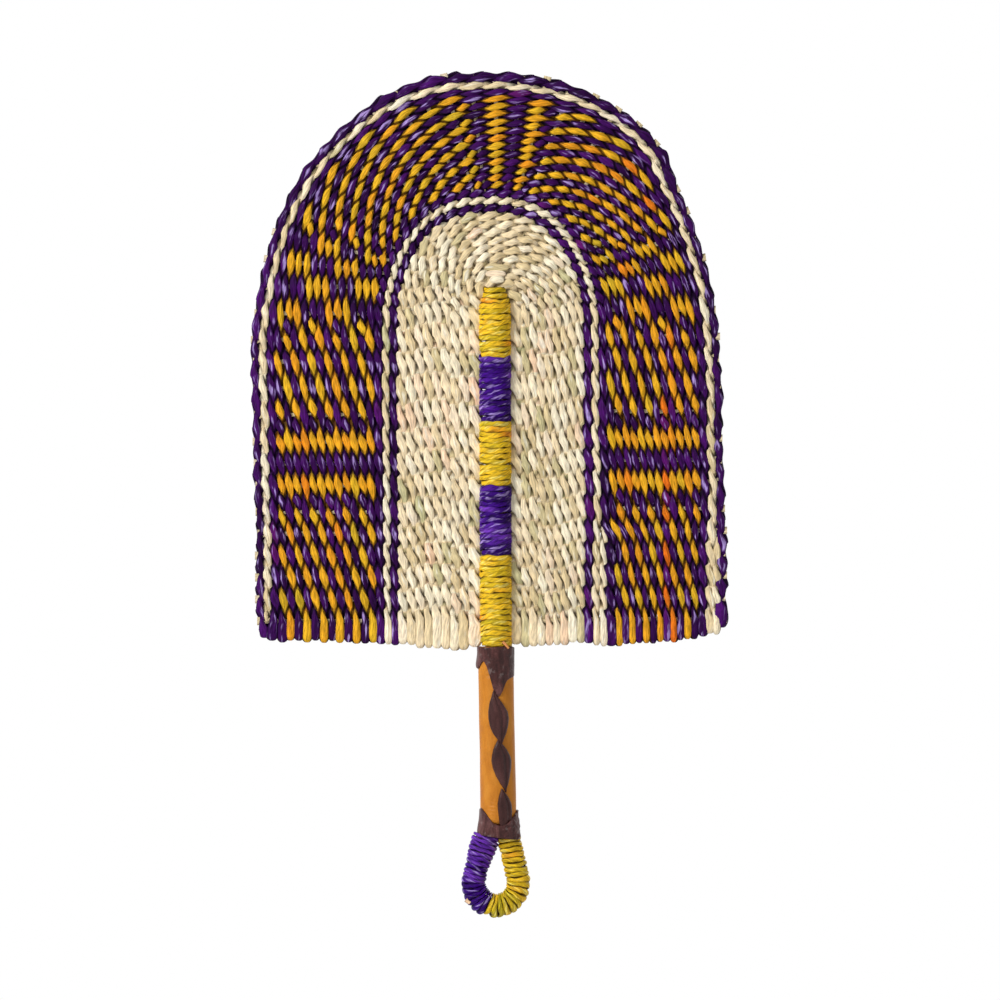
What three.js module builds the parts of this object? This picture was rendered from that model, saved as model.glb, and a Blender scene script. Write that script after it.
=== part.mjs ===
// Woven seagrass hand fan: twined rows on reed warps, a wrapped spine, a leather handle and a hanging loop.
// Millimetres. +Z runs up the handle to the crown, the front faces -Y. The origin is the grip's middle.
import * as THREE from "three";

// Clearances
const FIT_GAP = 0.3; // between pieces that touch
const TURN_GAP = 0.45; // between neighbouring turns of a winding
const ROW_GAP = 0.4; // between neighbouring rows
const SPINE_GAP = 1.0; // beside the spine's winding
const CROWN_GAP = 1.4; // over the tip of the spine
const FOOT_GAP = 0.4; // from the handle to the ends of the inner rows

// Blade: rows are counted from the spine outwards
const NATURAL_ROWS = 9;
const BORDER_ROWS = 3;
const FIELD_ROWS = 12;
const EDGE_ROWS = 3;
const LEFT_WING = 127.9; // from the axis to the outer edge
const RIGHT_WING = 117.7;
const CROWN_RISE = 112.5; // from the tip of the spine to the outer edge
const NATURAL_PITCH_LEFT = 4.7;
const NATURAL_PITCH_RIGHT = 4.05;
const NATURAL_PITCH_CROWN = 4.25;
const BORDER_PITCH = 4.0; // of the border and the edge; the field fills what is left
const STRAND_THICKNESS = 1.7; // of a row on each face of the warps
const STRAND_BEVEL = 0.6; // how far a row's face is narrower than its seat, on each side
const ARCH_HEIGHT_INNER = 7; // from the springing to the apex, at the spine
const ARCH_HEIGHT_OUTER = 144; // and at the outer edge
const ARCH_SIDE_EXPONENT = 2.47;
const ARCH_CROWN_EXPONENT = 1.8;
const ROW_END_FOLD = 1.2; // where a row folds over to the back at the foot of the blade
const FOOT_RISE_LEFT = 2.5; // how much higher the outer left row ends than the inner rows
const FOOT_RISE_RIGHT = 4.0; // and the outer right row

// Warps: reeds that the rows are twined on
const WARP_WIDTH = 1.2;
const WARP_DEPTH = 1.6;
const WARP_PROUD = 1.0; // how far the tips stand out of the edge
const CROWN_WARPS = 27; // fanned evenly from side to side

// Spine: two half-round sticks under a winding
const STICK_RADIUS = 6.0;
const WRAP_THICKNESS = 2.1;
const TURN_WIDTH = 2.05;
const TURNS_BELOW = 5; // under the lowest cross warp
const TURNS_BETWEEN = [4, 4, 4, 4, 4, 5, 4, 4, 5, 5, 5, 4, 5]; // neighbouring cross warps
const TURNS_ABOVE = 5; // over the topmost cross warp
const BAND_TURNS = [17, 13, 12, 12, 13]; // yellow and purple in turn, from the handle up
const TIP_TURNS = 3;
const TIP_STEP = 0.9; // how much each turn of the tip is smaller than the one below

// Handle
const SLEEVE_LENGTH = 92;
const SLEEVE_RADIUS = 8.9;
const LEATHER = 0.7;
const TOP_COLLAR_LENGTH = 12.5;
const TOP_COLLAR_POINT = 13; // hangs down the front
const POINT_HALF_ANGLE = 67.5; // degrees round the handle
const LOWER_COLLAR_LAP = 5; // over the end of the sleeve
const LOWER_COLLAR_DIP = 6; // of its top edge at the front and back
const LOWER_COLLAR_REACH = 8.6; // below the end of the sleeve
const LOWER_COLLAR_FLARE = 2.2; // sideways, round the two ends of the loop
const LACE_WIDTH = 10.2;
const LACE_WAIST = 2.6; // where the lacing strip twists through its slit
const LACE_LENGTH = 24; // from slit to slit
const LACE_DRIFT = 5; // sideways, from the top of the strip to its foot

// Hanging loop
const LOOP_CORE_RADIUS = 3.6;
const LOOP_WRAP_THICKNESS = 2.6;
const LOOP_BEND_RADIUS = 11.7;
const LOOP_DROP = 22.4; // from the lower collar to the middle of the bend
const LOOP_PURPLE_TURNS = 10;
const LOOP_YELLOW_TURNS = 13;

// Facets
const ARCH_STEPS = 12;
const TURN_STEPS = 8;
const CORD_SIDES = 5;
const ROUND_STEPS = 24;
const COLLAR_STEPS = 16;
const LACE_STEPS = 12;
const LACE_COLUMNS = 4;
const CORE_SIDES = 8;
const CORE_STEPS = 20;

const PURPLE = { color: 0x3d1670, roughness: 0.45, metalness: 0 };
const YELLOW = { color: 0xd9a41f, roughness: 0.5, metalness: 0 };
const NATURAL = { color: 0xe2d1ac, roughness: 0.6, metalness: 0 };
const TWO_TONE = { color: 0x8a5c46, roughness: 0.48, metalness: 0 };
const REED = { color: 0xd8c79c, roughness: 0.65, metalness: 0 };
const WOOD = { color: 0x9a7448, roughness: 0.7, metalness: 0 };
const TAN_LEATHER = { color: 0xd98a26, roughness: 0.5, metalness: 0 };
const DARK_LEATHER = { color: 0x553739, roughness: 0.42, metalness: 0 };

const fan = new THREE.Group();

function addPiece(name, geometry, finish) {
  const piece = new THREE.Mesh(geometry, new THREE.MeshStandardMaterial(finish));
  piece.name = name;
  fan.add(piece);
}

const radians = THREE.MathUtils.degToRad;
const mix = THREE.MathUtils.lerp;
const point = (x, y, z) => new THREE.Vector3(x, y, z);

// A closed surface through rings of points: joined end to end if closed, and otherwise capped at both ends.
function loft(rings, closed) {
  const sides = rings[0].length;
  const points = rings.flat();
  const faces = [];
  const spans = closed ? rings.length : rings.length - 1;
  for (let ring = 0; ring < spans; ring++) {
    const here = ring * sides;
    const there = ((ring + 1) % rings.length) * sides;
    for (let side = 0; side < sides; side++) {
      const next = (side + 1) % sides;
      faces.push([here + side, here + next, there + next]);
      faces.push([here + side, there + next, there + side]);
    }
  }
  if (!closed) {
    const last = points.length - sides;
    for (let low = 0, high = sides - 1; low + 1 < high; ) {
      faces.push([low, high, low + 1]);
      faces.push([last + low, last + low + 1, last + high]);
      low += 1;
      if (low + 1 < high) {
        faces.push([low, high, high - 1]);
        faces.push([last + low, last + high - 1, last + high]);
        high -= 1;
      }
    }
  }
  const volume = faces.reduce((sum, [a, b, c]) => {
    return sum + points[a].dot(points[b].clone().cross(points[c]));
  }, 0);
  const outward = volume < 0 ? faces.map(([a, b, c]) => [a, c, b]) : faces;
  const geometry = new THREE.BufferGeometry().setFromPoints(points);
  return geometry.setIndex(outward.flat());
}

// Heights on the spine

const sleeveTop = SLEEVE_LENGTH / 2;
const sleeveFoot = -SLEEVE_LENGTH / 2;
const turnHeights = [];
const warpHeights = [];
let level = sleeveTop + FIT_GAP;

function stackTurns(count) {
  for (let turn = 0; turn < count; turn++) {
    turnHeights.push(level + TURN_WIDTH / 2);
    level += TURN_WIDTH + TURN_GAP;
  }
  level -= TURN_GAP;
}

for (const count of [TURNS_BELOW, ...TURNS_BETWEEN]) {
  stackTurns(count);
  level += FIT_GAP + WARP_WIDTH / 2;
  warpHeights.push(level);
  level += WARP_WIDTH / 2 + FIT_GAP;
}
stackTurns(TURNS_ABOVE);
const spineTop = level;

const wrapMiddle = STICK_RADIUS + FIT_GAP + WRAP_THICKNESS / 2;
const wrapOuter = wrapMiddle + WRAP_THICKNESS / 2;
const tipStart = turnHeights.length - 1 - TIP_TURNS;
const tipTaper = (turn) => TIP_STEP * Math.max(0, turn - tipStart);

// Spine sticks: each half lies on one face of the warps

const warpSeat = WARP_DEPTH / 2 + FIT_GAP;

function stickRing(face, radius, height) {
  const flank = radius - warpSeat * Math.tan(Math.PI / TURN_STEPS);
  const ring = [point(-flank, face * warpSeat, height)];
  for (let step = 1; step < TURN_STEPS / 2; step++) {
    const angle = (step * 2 * Math.PI) / TURN_STEPS;
    ring.push(point(-radius * Math.cos(angle), face * radius * Math.sin(angle), height));
  }
  ring.push(point(flank, face * warpSeat, height));
  return ring;
}

for (const [side, face] of [["front", -1], ["back", 1]]) {
  const tip = turnHeights.length - 1;
  const rings = [
    stickRing(face, STICK_RADIUS, sleeveFoot),
    stickRing(face, STICK_RADIUS, turnHeights[tipStart]),
    stickRing(face, STICK_RADIUS - tipTaper(tip), turnHeights[tip]),
  ];
  addPiece(`spine_stick_${side}`, loft(rings, false), WOOD);
}

// Windings: one unbroken tube, level across the front of each turn and climbing round the back

function windingRings(core, turns, width, thickness) {
  const half = TURN_STEPS / 2;
  const rings = [];
  const addRing = (along, radius, angle) => {
    const ring = [];
    for (let side = 0; side < CORD_SIDES; side++) {
      const corner = Math.PI / 2 + (side * 2 * Math.PI) / CORD_SIDES;
      const lift = radius + (thickness / 2) * Math.sin(corner);
      const shift = (width / 2) * Math.cos(corner);
      ring.push(core(along + shift, lift * Math.sin(angle), -lift * Math.cos(angle)));
    }
    rings.push(ring);
  };
  turns.forEach((turn, index) => {
    for (let step = 0; step <= half; step++) {
      addRing(turn.along, turn.radius, -Math.PI / 2 + (step * Math.PI) / half);
    }
    const next = turns[index + 1];
    for (let step = 1; next && step < half; step++) {
      const share = step / half;
      const angle = Math.PI / 2 + share * Math.PI;
      addRing(mix(turn.along, next.along, share), mix(turn.radius, next.radius, share), angle);
    }
  });
  const tail = (ring) => ring.map((corner) => corner.clone().add(point(0, thickness, 0)));
  return [tail(rings[0]), ...rings, tail(rings.at(-1))];
}

function leastGap(rings) {
  const apart = TURN_STEPS / 2 + 1;
  let least = Infinity;
  for (let first = 0; first < rings.length; first++) {
    for (let second = first + apart; second < rings.length; second++) {
      for (const here of rings[first]) {
        for (const there of rings[second]) least = Math.min(least, here.distanceTo(there));
      }
    }
  }
  return least;
}

function addWinding(name, core, turns, width, thickness, finish) {
  const rings = windingRings(core, turns, width, thickness);
  console.log(`${name}: ${turns.length} turns, least gap to itself ${leastGap(rings).toFixed(2)} mm`);
  addPiece(name, loft(rings, false), finish);
}

const onSpine = (along, right, back) => point(right, back, along);
let firstTurn = 0;
BAND_TURNS.forEach((count, band) => {
  const turns = [];
  for (let turn = firstTurn; turn < firstTurn + count; turn++) {
    turns.push({ along: turnHeights[turn], radius: wrapMiddle - tipTaper(turn) });
  }
  const finish = band % 2 ? PURPLE : YELLOW;
  addWinding(`spine_wrap_${band + 1}`, onSpine, turns, TURN_WIDTH, WRAP_THICKNESS, finish);
  firstTurn += count;
});

// Blade outline: the curve at a given count of rows from the spine, by the angle round its arch.
// The field's rows share the width that the other rows leave.

const rowCount = NATURAL_ROWS + BORDER_ROWS + FIELD_ROWS + EDGE_ROWS;
const spineEdge = wrapOuter + SPINE_GAP;

function rowEdges(inner, outer, naturalPitch) {
  const naturalWidth = NATURAL_ROWS * naturalPitch;
  const borderWidth = (BORDER_ROWS + EDGE_ROWS) * BORDER_PITCH;
  const fieldPitch = (outer - inner - naturalWidth - borderWidth) / FIELD_ROWS;
  const pitches = [
    ...Array(NATURAL_ROWS).fill(naturalPitch),
    ...Array(BORDER_ROWS).fill(BORDER_PITCH),
    ...Array(FIELD_ROWS).fill(fieldPitch),
    ...Array(EDGE_ROWS).fill(BORDER_PITCH),
  ];
  const edges = [inner];
  for (const pitch of pitches) edges.push(edges.at(-1) + pitch);
  return edges;
}

const leftEdges = rowEdges(spineEdge, LEFT_WING, NATURAL_PITCH_LEFT);
const rightEdges = rowEdges(spineEdge, RIGHT_WING, NATURAL_PITCH_RIGHT);
const crownEdges = rowEdges(CROWN_GAP, CROWN_RISE, NATURAL_PITCH_CROWN);

function edgeAt(edges, rows) {
  const row = Math.min(Math.floor(rows), rowCount - 1);
  return mix(edges[row], edges[row + 1], rows - row);
}

function archAt(rows) {
  const left = edgeAt(leftEdges, rows);
  const right = edgeAt(rightEdges, rows);
  const apex = spineTop + edgeAt(crownEdges, rows);
  const height = mix(ARCH_HEIGHT_INNER, ARCH_HEIGHT_OUTER, rows / rowCount);
  return { middle: (right - left) / 2, half: (right + left) / 2, height, springing: apex - height };
}

function archPoint(rows, angle) {
  const arch = archAt(rows);
  const across = Math.cos(angle);
  const reach = Math.sign(across) * Math.abs(across) ** (2 / ARCH_SIDE_EXPONENT);
  const rise = Math.max(0, Math.sin(angle)) ** (2 / ARCH_CROWN_EXPONENT);
  return { x: arch.middle - arch.half * reach, z: arch.springing + arch.height * rise };
}

// Feet of the rows: the inner ones reach down to the handle, and the outer ones end a little higher.

function footHeight(rows, rise) {
  return sleeveTop + FOOT_GAP + rise * (rows / rowCount) ** 2;
}

// Twined rows: a strand on each face of the warps, folded over at both feet

const pitchesOf = (edges) => edges.slice(1).map((edge, row) => edge - edges[row]);
const tightestPitch = Math.min(...[leftEdges, rightEdges, crownEdges].flatMap(pitchesOf));
const seatInset = ROW_GAP / 2 / tightestPitch;
const faceInset = seatInset + STRAND_BEVEL / tightestPitch;
const bladeHalf = warpSeat + STRAND_THICKNESS;

function rowGeometry(row) {
  const corners = [
    { rows: row + seatInset, depth: warpSeat, lift: ROW_END_FOLD },
    { rows: row + faceInset, depth: bladeHalf, lift: 0 },
    { rows: row + 1 - faceInset, depth: bladeHalf, lift: 0 },
    { rows: row + 1 - seatInset, depth: warpSeat, lift: ROW_END_FOLD },
  ];
  const foot = (face, angle, rise) => {
    return corners.map(({ rows, depth, lift }) => {
      const height = footHeight(row + 0.5, rise) + lift;
      return point(archPoint(rows, angle).x, face * depth, height);
    });
  };
  const strand = (face) => {
    const rings = [foot(face, 0, FOOT_RISE_LEFT)];
    for (let step = 0; step <= ARCH_STEPS; step++) {
      const angle = (step * Math.PI) / ARCH_STEPS;
      const ring = corners.map(({ rows, depth }) => {
        const { x, z } = archPoint(rows, angle);
        return point(x, face * depth, z);
      });
      rings.push(ring);
    }
    rings.push(foot(face, Math.PI, FOOT_RISE_RIGHT));
    return rings;
  };
  return loft([...strand(-1), ...strand(1).reverse()], true);
}

const bands = [
  { name: "natural_row", count: NATURAL_ROWS, finishes: [NATURAL] },
  { name: "border_row", count: BORDER_ROWS, finishes: [PURPLE, NATURAL] },
  { name: "field_row", count: FIELD_ROWS, finishes: [TWO_TONE] },
  { name: "edge_row", count: EDGE_ROWS, finishes: [PURPLE, NATURAL] },
];
let rowsDone = 0;
for (const { name, count, finishes } of bands) {
  for (let index = 0; index < count; index++) {
    const finish = finishes[index % finishes.length];
    addPiece(`${name}_${index + 1}`, rowGeometry(rowsDone + index), finish);
  }
  rowsDone += count;
}

// Warps reach the outer edge, wherever a straight line meets it, and a little beyond.

function insideBlade(x, z) {
  const arch = archAt(rowCount);
  const across = Math.abs(x - arch.middle) / arch.half;
  const up = Math.max(0, z - arch.springing) / arch.height;
  return across ** ARCH_SIDE_EXPONENT + up ** ARCH_CROWN_EXPONENT < 1;
}

function reachToEdge(x, z, angle) {
  let near = 0;
  let far = LEFT_WING + CROWN_RISE;
  while (far - near > FIT_GAP / 100) {
    const tried = (near + far) / 2;
    if (insideBlade(x + tried * Math.cos(angle), z + tried * Math.sin(angle))) near = tried;
    else far = tried;
  }
  return near + WARP_PROUD;
}

// Cross warps: reeds from edge to edge, through the spine between its two sticks

const halfWidth = WARP_WIDTH / 2;
const halfDepth = WARP_DEPTH / 2;

function reedRing(x, z) {
  return [
    point(x, -halfDepth, z - halfWidth),
    point(x, halfDepth, z - halfWidth),
    point(x, halfDepth, z + halfWidth),
    point(x, -halfDepth, z + halfWidth),
  ];
}

warpHeights.forEach((height, index) => {
  const left = reedRing(-reachToEdge(0, height, Math.PI), height);
  const right = reedRing(reachToEdge(0, height, 0), height);
  const name = `cross_warp_${String(index + 1).padStart(2, "0")}`;
  addPiece(name, loft([left, right], false), REED);
});

// Crown warps: a sheaf of reeds whose foot is held in the tip of the spine, fanned out over the crown

const sheafHeight = spineTop + FIT_GAP + halfWidth;
const tipInner = wrapMiddle - tipTaper(turnHeights.length - 1) - WRAP_THICKNESS / 2;
const sheafHalf = tipInner * Math.cos(Math.PI / TURN_STEPS) - FIT_GAP;
const sheafFoot = warpHeights.at(-1) + halfWidth + FIT_GAP;
const crownStep = Math.PI / (CROWN_WARPS - 1);
const crownAngles = Array.from({ length: CROWN_WARPS }, (_, index) => index * crownStep);
const onSheaf = (angle, reach, aside) => {
  const x = reach * Math.cos(angle) - aside * Math.sin(angle);
  const z = sheafHeight + reach * Math.sin(angle) + aside * Math.cos(angle);
  return new THREE.Vector2(x, z);
};
const sheafOutline = [new THREE.Vector2(-sheafHalf, sheafFoot), new THREE.Vector2(sheafHalf, sheafFoot)];
sheafOutline.push(new THREE.Vector2(sheafHalf, sheafHeight - halfWidth));
crownAngles.forEach((angle, index) => {
  const reach = reachToEdge(0, sheafHeight, angle);
  sheafOutline.push(onSheaf(angle, reach, -halfWidth), onSheaf(angle, reach, halfWidth));
  const valley = onSheaf(angle + crownStep / 2, halfWidth / Math.sin(crownStep / 2), 0);
  if (index < CROWN_WARPS - 1) sheafOutline.push(valley);
});
sheafOutline.push(new THREE.Vector2(-sheafHalf, sheafHeight - halfWidth));
const sheafShape = new THREE.Shape(sheafOutline);
const sheaf = new THREE.ExtrudeGeometry(sheafShape, { depth: WARP_DEPTH, bevelEnabled: false });
sheaf.rotateX(Math.PI / 2).translate(0, halfDepth, 0);
addPiece("crown_warps", sheaf, REED);

// Handle sleeve: tan leather sewn round the sticks

const sleeveBore = (STICK_RADIUS + FIT_GAP) / Math.cos(Math.PI / ROUND_STEPS);
const sleeveProfile = [
  new THREE.Vector2(sleeveBore, sleeveFoot),
  new THREE.Vector2(SLEEVE_RADIUS, sleeveFoot),
  new THREE.Vector2(SLEEVE_RADIUS, sleeveTop),
  new THREE.Vector2(sleeveBore, sleeveTop),
  new THREE.Vector2(sleeveBore, sleeveFoot),
];
const sleeve = new THREE.LatheGeometry(sleeveProfile, ROUND_STEPS);
addPiece("handle_sleeve", sleeve.rotateX(Math.PI / 2), TAN_LEATHER);

// Collars: dark leather bands, whose edges rise and fall round the handle

const collarSeat = (SLEEVE_RADIUS + FIT_GAP) / Math.cos(Math.PI / COLLAR_STEPS);
const frontShare = (angle) => Math.max(0, 1 - Math.abs(angle) / radians(POINT_HALF_ANGLE));

function collarGeometry(topEdge, lowEdge, flareAt) {
  const rings = [];
  for (let step = 0; step < COLLAR_STEPS; step++) {
    const angle = (step / COLLAR_STEPS - 0.5) * 2 * Math.PI;
    const corner = (height, skin) => {
      const across = collarSeat + skin + flareAt(height);
      return point(across * Math.sin(angle), -(collarSeat + skin) * Math.cos(angle), height);
    };
    const top = topEdge(angle);
    const low = lowEdge(angle);
    rings.push([corner(top, 0), corner(top, LEATHER), corner(low, LEATHER), corner(low, 0)]);
  }
  return loft(rings, true);
}

const topCollarLow = sleeveTop - TOP_COLLAR_LENGTH;
const pointedEdge = (angle) => topCollarLow - TOP_COLLAR_POINT * frontShare(angle);
addPiece("top_collar", collarGeometry(() => sleeveTop, pointedEdge, () => 0), DARK_LEATHER);

const lowerCollarTop = sleeveFoot + LOWER_COLLAR_LAP;
const lowerCollarFoot = sleeveFoot - LOWER_COLLAR_REACH;
const dippedEdge = (angle) => {
  const behind = Math.PI - Math.abs(angle);
  return lowerCollarTop - LOWER_COLLAR_DIP * (frontShare(angle) + frontShare(behind));
};
const flare = (height) => {
  const share = (lowerCollarTop - height) / (lowerCollarTop - lowerCollarFoot);
  return LOWER_COLLAR_FLARE * share;
};
addPiece("lower_collar", collarGeometry(dippedEdge, () => lowerCollarFoot, flare), DARK_LEATHER);

// Lacing strip: dark leather, twisted through slits down the front of the sleeve

const laceTop = topCollarLow - TOP_COLLAR_POINT - FIT_GAP;
const laceFoot = lowerCollarTop + FIT_GAP;
const laceSeat = collarSeat;

function laceRing(share) {
  const height = mix(laceTop, laceFoot, share);
  const twist = Math.abs(Math.sin((Math.PI * (laceTop - height)) / LACE_LENGTH));
  const half = mix(LACE_WAIST, LACE_WIDTH, twist) / 2;
  const middle = LACE_DRIFT * share;
  const column = (index, skin) => {
    const angle = (middle + half * ((2 * index) / LACE_COLUMNS - 1)) / laceSeat;
    return point((laceSeat + skin) * Math.sin(angle), -(laceSeat + skin) * Math.cos(angle), height);
  };
  const outer = [];
  const inner = [];
  for (let index = 0; index <= LACE_COLUMNS; index++) {
    outer.push(column(index, LEATHER));
    inner.unshift(column(index, 0));
  }
  return [...outer, ...inner];
}

const laceRings = [];
for (let step = 0; step <= LACE_STEPS; step++) laceRings.push(laceRing(step / LACE_STEPS));
addPiece("lacing_strip", loft(laceRings, false), DARK_LEATHER);

// Hanging loop: a cord core from leg to leg, straight down both legs and round the bend

const loopMiddle = LOOP_CORE_RADIUS + FIT_GAP + LOOP_WRAP_THICKNESS / 2;
const loopOuter = loopMiddle + LOOP_WRAP_THICKNESS / 2;
const legSpread = loopOuter + TURN_GAP;
const bendHeight = lowerCollarFoot - LOOP_DROP;
const legDistance = Math.hypot(legSpread, LOOP_DROP);
const legTilt = Math.atan2(LOOP_DROP, legSpread) - Math.acos(LOOP_BEND_RADIUS / legDistance);
const legRun = Math.sqrt(legDistance ** 2 - LOOP_BEND_RADIUS ** 2);
const legRoom = sleeveFoot - FIT_GAP - lowerCollarFoot - LOOP_CORE_RADIUS * Math.sin(legTilt);
const legAbove = legRoom / Math.cos(legTilt);
const legLength = legAbove + legRun;
const bendAngle = Math.PI + 2 * legTilt;
const bendLength = LOOP_BEND_RADIUS * bendAngle;
const loopLength = 2 * legLength + bendLength;

// A point of the loop: a distance along its core from the top of the left leg, out from the bend, and back.
function onLoop(along, outward, back) {
  const reach = LOOP_BEND_RADIUS + outward;
  const turned = THREE.MathUtils.clamp((along - legLength) / LOOP_BEND_RADIUS, 0, bendAngle);
  const angle = Math.PI - legTilt + turned;
  const beyond = along - legLength - LOOP_BEND_RADIUS * turned;
  const x = reach * Math.cos(angle) - beyond * Math.sin(angle);
  const z = bendHeight + reach * Math.sin(angle) + beyond * Math.cos(angle);
  return point(x, back, z);
}

class LoopCurve extends THREE.Curve {
  getPoint(share) {
    return onLoop(share * loopLength, 0, 0);
  }
}

const coreSection = [];
for (let side = 0; side < CORE_SIDES; side++) {
  const angle = (side * 2 * Math.PI) / CORE_SIDES;
  coreSection.push(new THREE.Vector2(Math.cos(angle), Math.sin(angle)).multiplyScalar(LOOP_CORE_RADIUS));
}
const coreOptions = { steps: CORE_STEPS, extrudePath: new LoopCurve(), bevelEnabled: false };
addPiece("loop_core", new THREE.ExtrudeGeometry(new THREE.Shape(coreSection), coreOptions), NATURAL);

const wrapStart = legAbove + loopOuter * Math.tan(legTilt) + FIT_GAP;
const loopTurns = LOOP_PURPLE_TURNS + LOOP_YELLOW_TURNS;
const loopPitch = (loopLength - 2 * wrapStart) / loopTurns;
const insideShare = 1 - loopOuter / LOOP_BEND_RADIUS;
const loopTurnWidth = loopPitch - TURN_GAP / insideShare;

function loopTurn(index) {
  return { along: wrapStart + (index + 0.5) * loopPitch, radius: loopMiddle };
}

const everyTurn = Array.from({ length: loopTurns }, (_, index) => loopTurn(index));
const purpleTurns = everyTurn.slice(0, LOOP_PURPLE_TURNS);
const yellowTurns = everyTurn.slice(LOOP_PURPLE_TURNS);
addWinding("loop_wrap_purple", onLoop, purpleTurns, loopTurnWidth, LOOP_WRAP_THICKNESS, PURPLE);
addWinding("loop_wrap_yellow", onLoop, yellowTurns, loopTurnWidth, LOOP_WRAP_THICKNESS, YELLOW);

export default fan;
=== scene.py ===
from math import acos, atan2, cos, exp, hypot, pi, sin, sqrt
from random import Random

import bpy
import numpy as np
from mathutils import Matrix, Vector, noise


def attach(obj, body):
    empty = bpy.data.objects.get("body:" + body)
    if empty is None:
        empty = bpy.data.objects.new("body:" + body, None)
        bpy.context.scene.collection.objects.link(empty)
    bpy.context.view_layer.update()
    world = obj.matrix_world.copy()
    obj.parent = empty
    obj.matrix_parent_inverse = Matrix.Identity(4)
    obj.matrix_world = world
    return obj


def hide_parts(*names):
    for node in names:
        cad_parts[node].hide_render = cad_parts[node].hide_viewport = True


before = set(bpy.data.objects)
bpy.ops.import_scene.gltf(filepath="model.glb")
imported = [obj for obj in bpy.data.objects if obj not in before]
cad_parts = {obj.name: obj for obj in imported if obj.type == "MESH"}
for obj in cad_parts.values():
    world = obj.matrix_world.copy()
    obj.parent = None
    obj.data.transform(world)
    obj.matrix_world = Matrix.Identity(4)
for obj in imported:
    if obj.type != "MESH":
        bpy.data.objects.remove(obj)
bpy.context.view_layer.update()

# Sticks and loop core
# Two half-round sticks run from the handle to the crown, and a bundle of grass stems is the core
# of the loop. Leather and windings cover them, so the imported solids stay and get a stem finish.

# Sizes are in millimetres, and MM turns them into metres.
MM = 0.001
STEM_SHADES = ((0.3, (112, 80, 46)), (0.7, (176, 138, 88)))
STEM_GRAIN = (900, 900, 60)
STEM_GRAIN_HEIGHT = 0.2


class Wire:
    """One socket of a node tree, so that maths on it can be written as maths."""

    def __init__(self, tree, socket=None):
        self.tree = tree
        self.socket = socket

    def node(self, kind, settings=None, sockets=None, out=0):
        """One output of a new node, given its settings and the values or links of its sockets."""
        made = self.tree.nodes.new(kind)
        for label, value in (settings or {}).items():
            if label == "stops":
                self.set_stops(made.color_ramp, value)
            else:
                setattr(made, label, value)
        for key, value in (sockets or {}).items():
            for one in value if isinstance(value, list) else [value]:
                if isinstance(one, Wire):
                    self.tree.links.new(one.socket, made.inputs[key])
                else:
                    made.inputs[key].default_value = one
        return Wire(self.tree, made.outputs[out]) if made.outputs else None

    @staticmethod
    def set_stops(ramp, stops):
        ramp.elements.remove(ramp.elements[1])
        ramp.elements[0].position, ramp.elements[0].color = stops[0]
        for place, colour in stops[1:]:
            ramp.elements.new(place).color = colour

    def math(self, operation, other=None):
        sockets = {0: self} if other is None else {0: self, 1: other}
        return self.node("ShaderNodeMath", {"operation": operation}, sockets)

    def __add__(self, other):
        return self.math("ADD", other)

    def __sub__(self, other):
        return self.math("SUBTRACT", other)

    def __rsub__(self, other):
        return self.node("ShaderNodeMath", {"operation": "SUBTRACT"}, {0: other, 1: self})

    def __mul__(self, other):
        return self.math("MULTIPLY", other)

    def __truediv__(self, other):
        return self.math("DIVIDE", other)

    def __pow__(self, other):
        return self.math("POWER", other)

    __radd__ = __add__
    __rmul__ = __mul__

    def vector(self, operation, other=None, out=0):
        sockets = {0: self} if other is None else {0: self, 1: other}
        return self.node("ShaderNodeVectorMath", {"operation": operation}, sockets, out)

    def scaled(self, factor):
        settings = {"operation": "SCALE"}
        return self.node("ShaderNodeVectorMath", settings, {0: self, "Scale": factor})

    def towards(self, colour, share):
        sockets = {0: share, 6: self, 7: colour}
        return self.node("ShaderNodeMix", {"data_type": "RGBA"}, sockets, 2)

    def eased(self, low, high):
        settings = {"interpolation_type": "SMOOTHSTEP"}
        return self.node("ShaderNodeMapRange", settings, {"Value": self, 1: low, 2: high})

    def noise(self, scale, detail):
        sockets = {"Vector": self.vector("MULTIPLY", scale), "Scale": 1.0, "Detail": detail}
        return self.node("ShaderNodeTexNoise", None, sockets)

    def shaded(self, shades):
        stops = [(place, level(*colour)) for place, colour in shades]
        return self.node("ShaderNodeValToRGB", {"stops": stops}, {"Fac": self})


def level(red, green, blue):
    """A colour given in screen levels from 0 to 255, in the linear values that a shader takes."""
    shares = [value / 255 for value in (red, green, blue)]
    linear = [s / 12.92 if s <= 0.04045 else ((s + 0.055) / 1.055) ** 2.4 for s in shares]
    return (*linear, 1.0)


def new_finish(name):
    """A new material, and a bare wire in its node tree."""
    material = bpy.data.materials.new(name)
    material.use_nodes = True
    material.node_tree.nodes.clear()
    return material, Wire(material.node_tree)


def close_finish(bare, bump, bump_height, sockets):
    """Ends a material in its shader, with a bump of the given height."""
    bump_sockets = {"Height": bump, "Distance": bump_height * MM}
    sockets["Normal"] = bare.node("ShaderNodeBump", None, bump_sockets)
    shader = bare.node("ShaderNodeBsdfPrincipled", None, sockets)
    bare.node("ShaderNodeOutputMaterial", None, {"Surface": shader})


def stem_finish():
    """Dry stems, with fine dark and pale lines along the grain."""
    material, bare = new_finish("stem")
    place = bare.node("ShaderNodeTexCoord", None, None, "Object")
    grain = place.noise(STEM_GRAIN, 4.0)
    sockets = {"Base Color": grain.shaded(STEM_SHADES), "Roughness": 0.55 + 0.2 * grain}
    close_finish(bare, grain, STEM_GRAIN_HEIGHT, sockets)
    return material


stem = stem_finish()
for node in ("spine_stick_front", "spine_stick_back", "loop_core"):
    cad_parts[node].material_slots[0].material = stem

# Warps
# Flat bundles of pale grass lie level from edge to edge, held between the two sticks, and a sheaf
# of them fans out over the crown. They show only as cut tips at the edge and between the rows.

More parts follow.
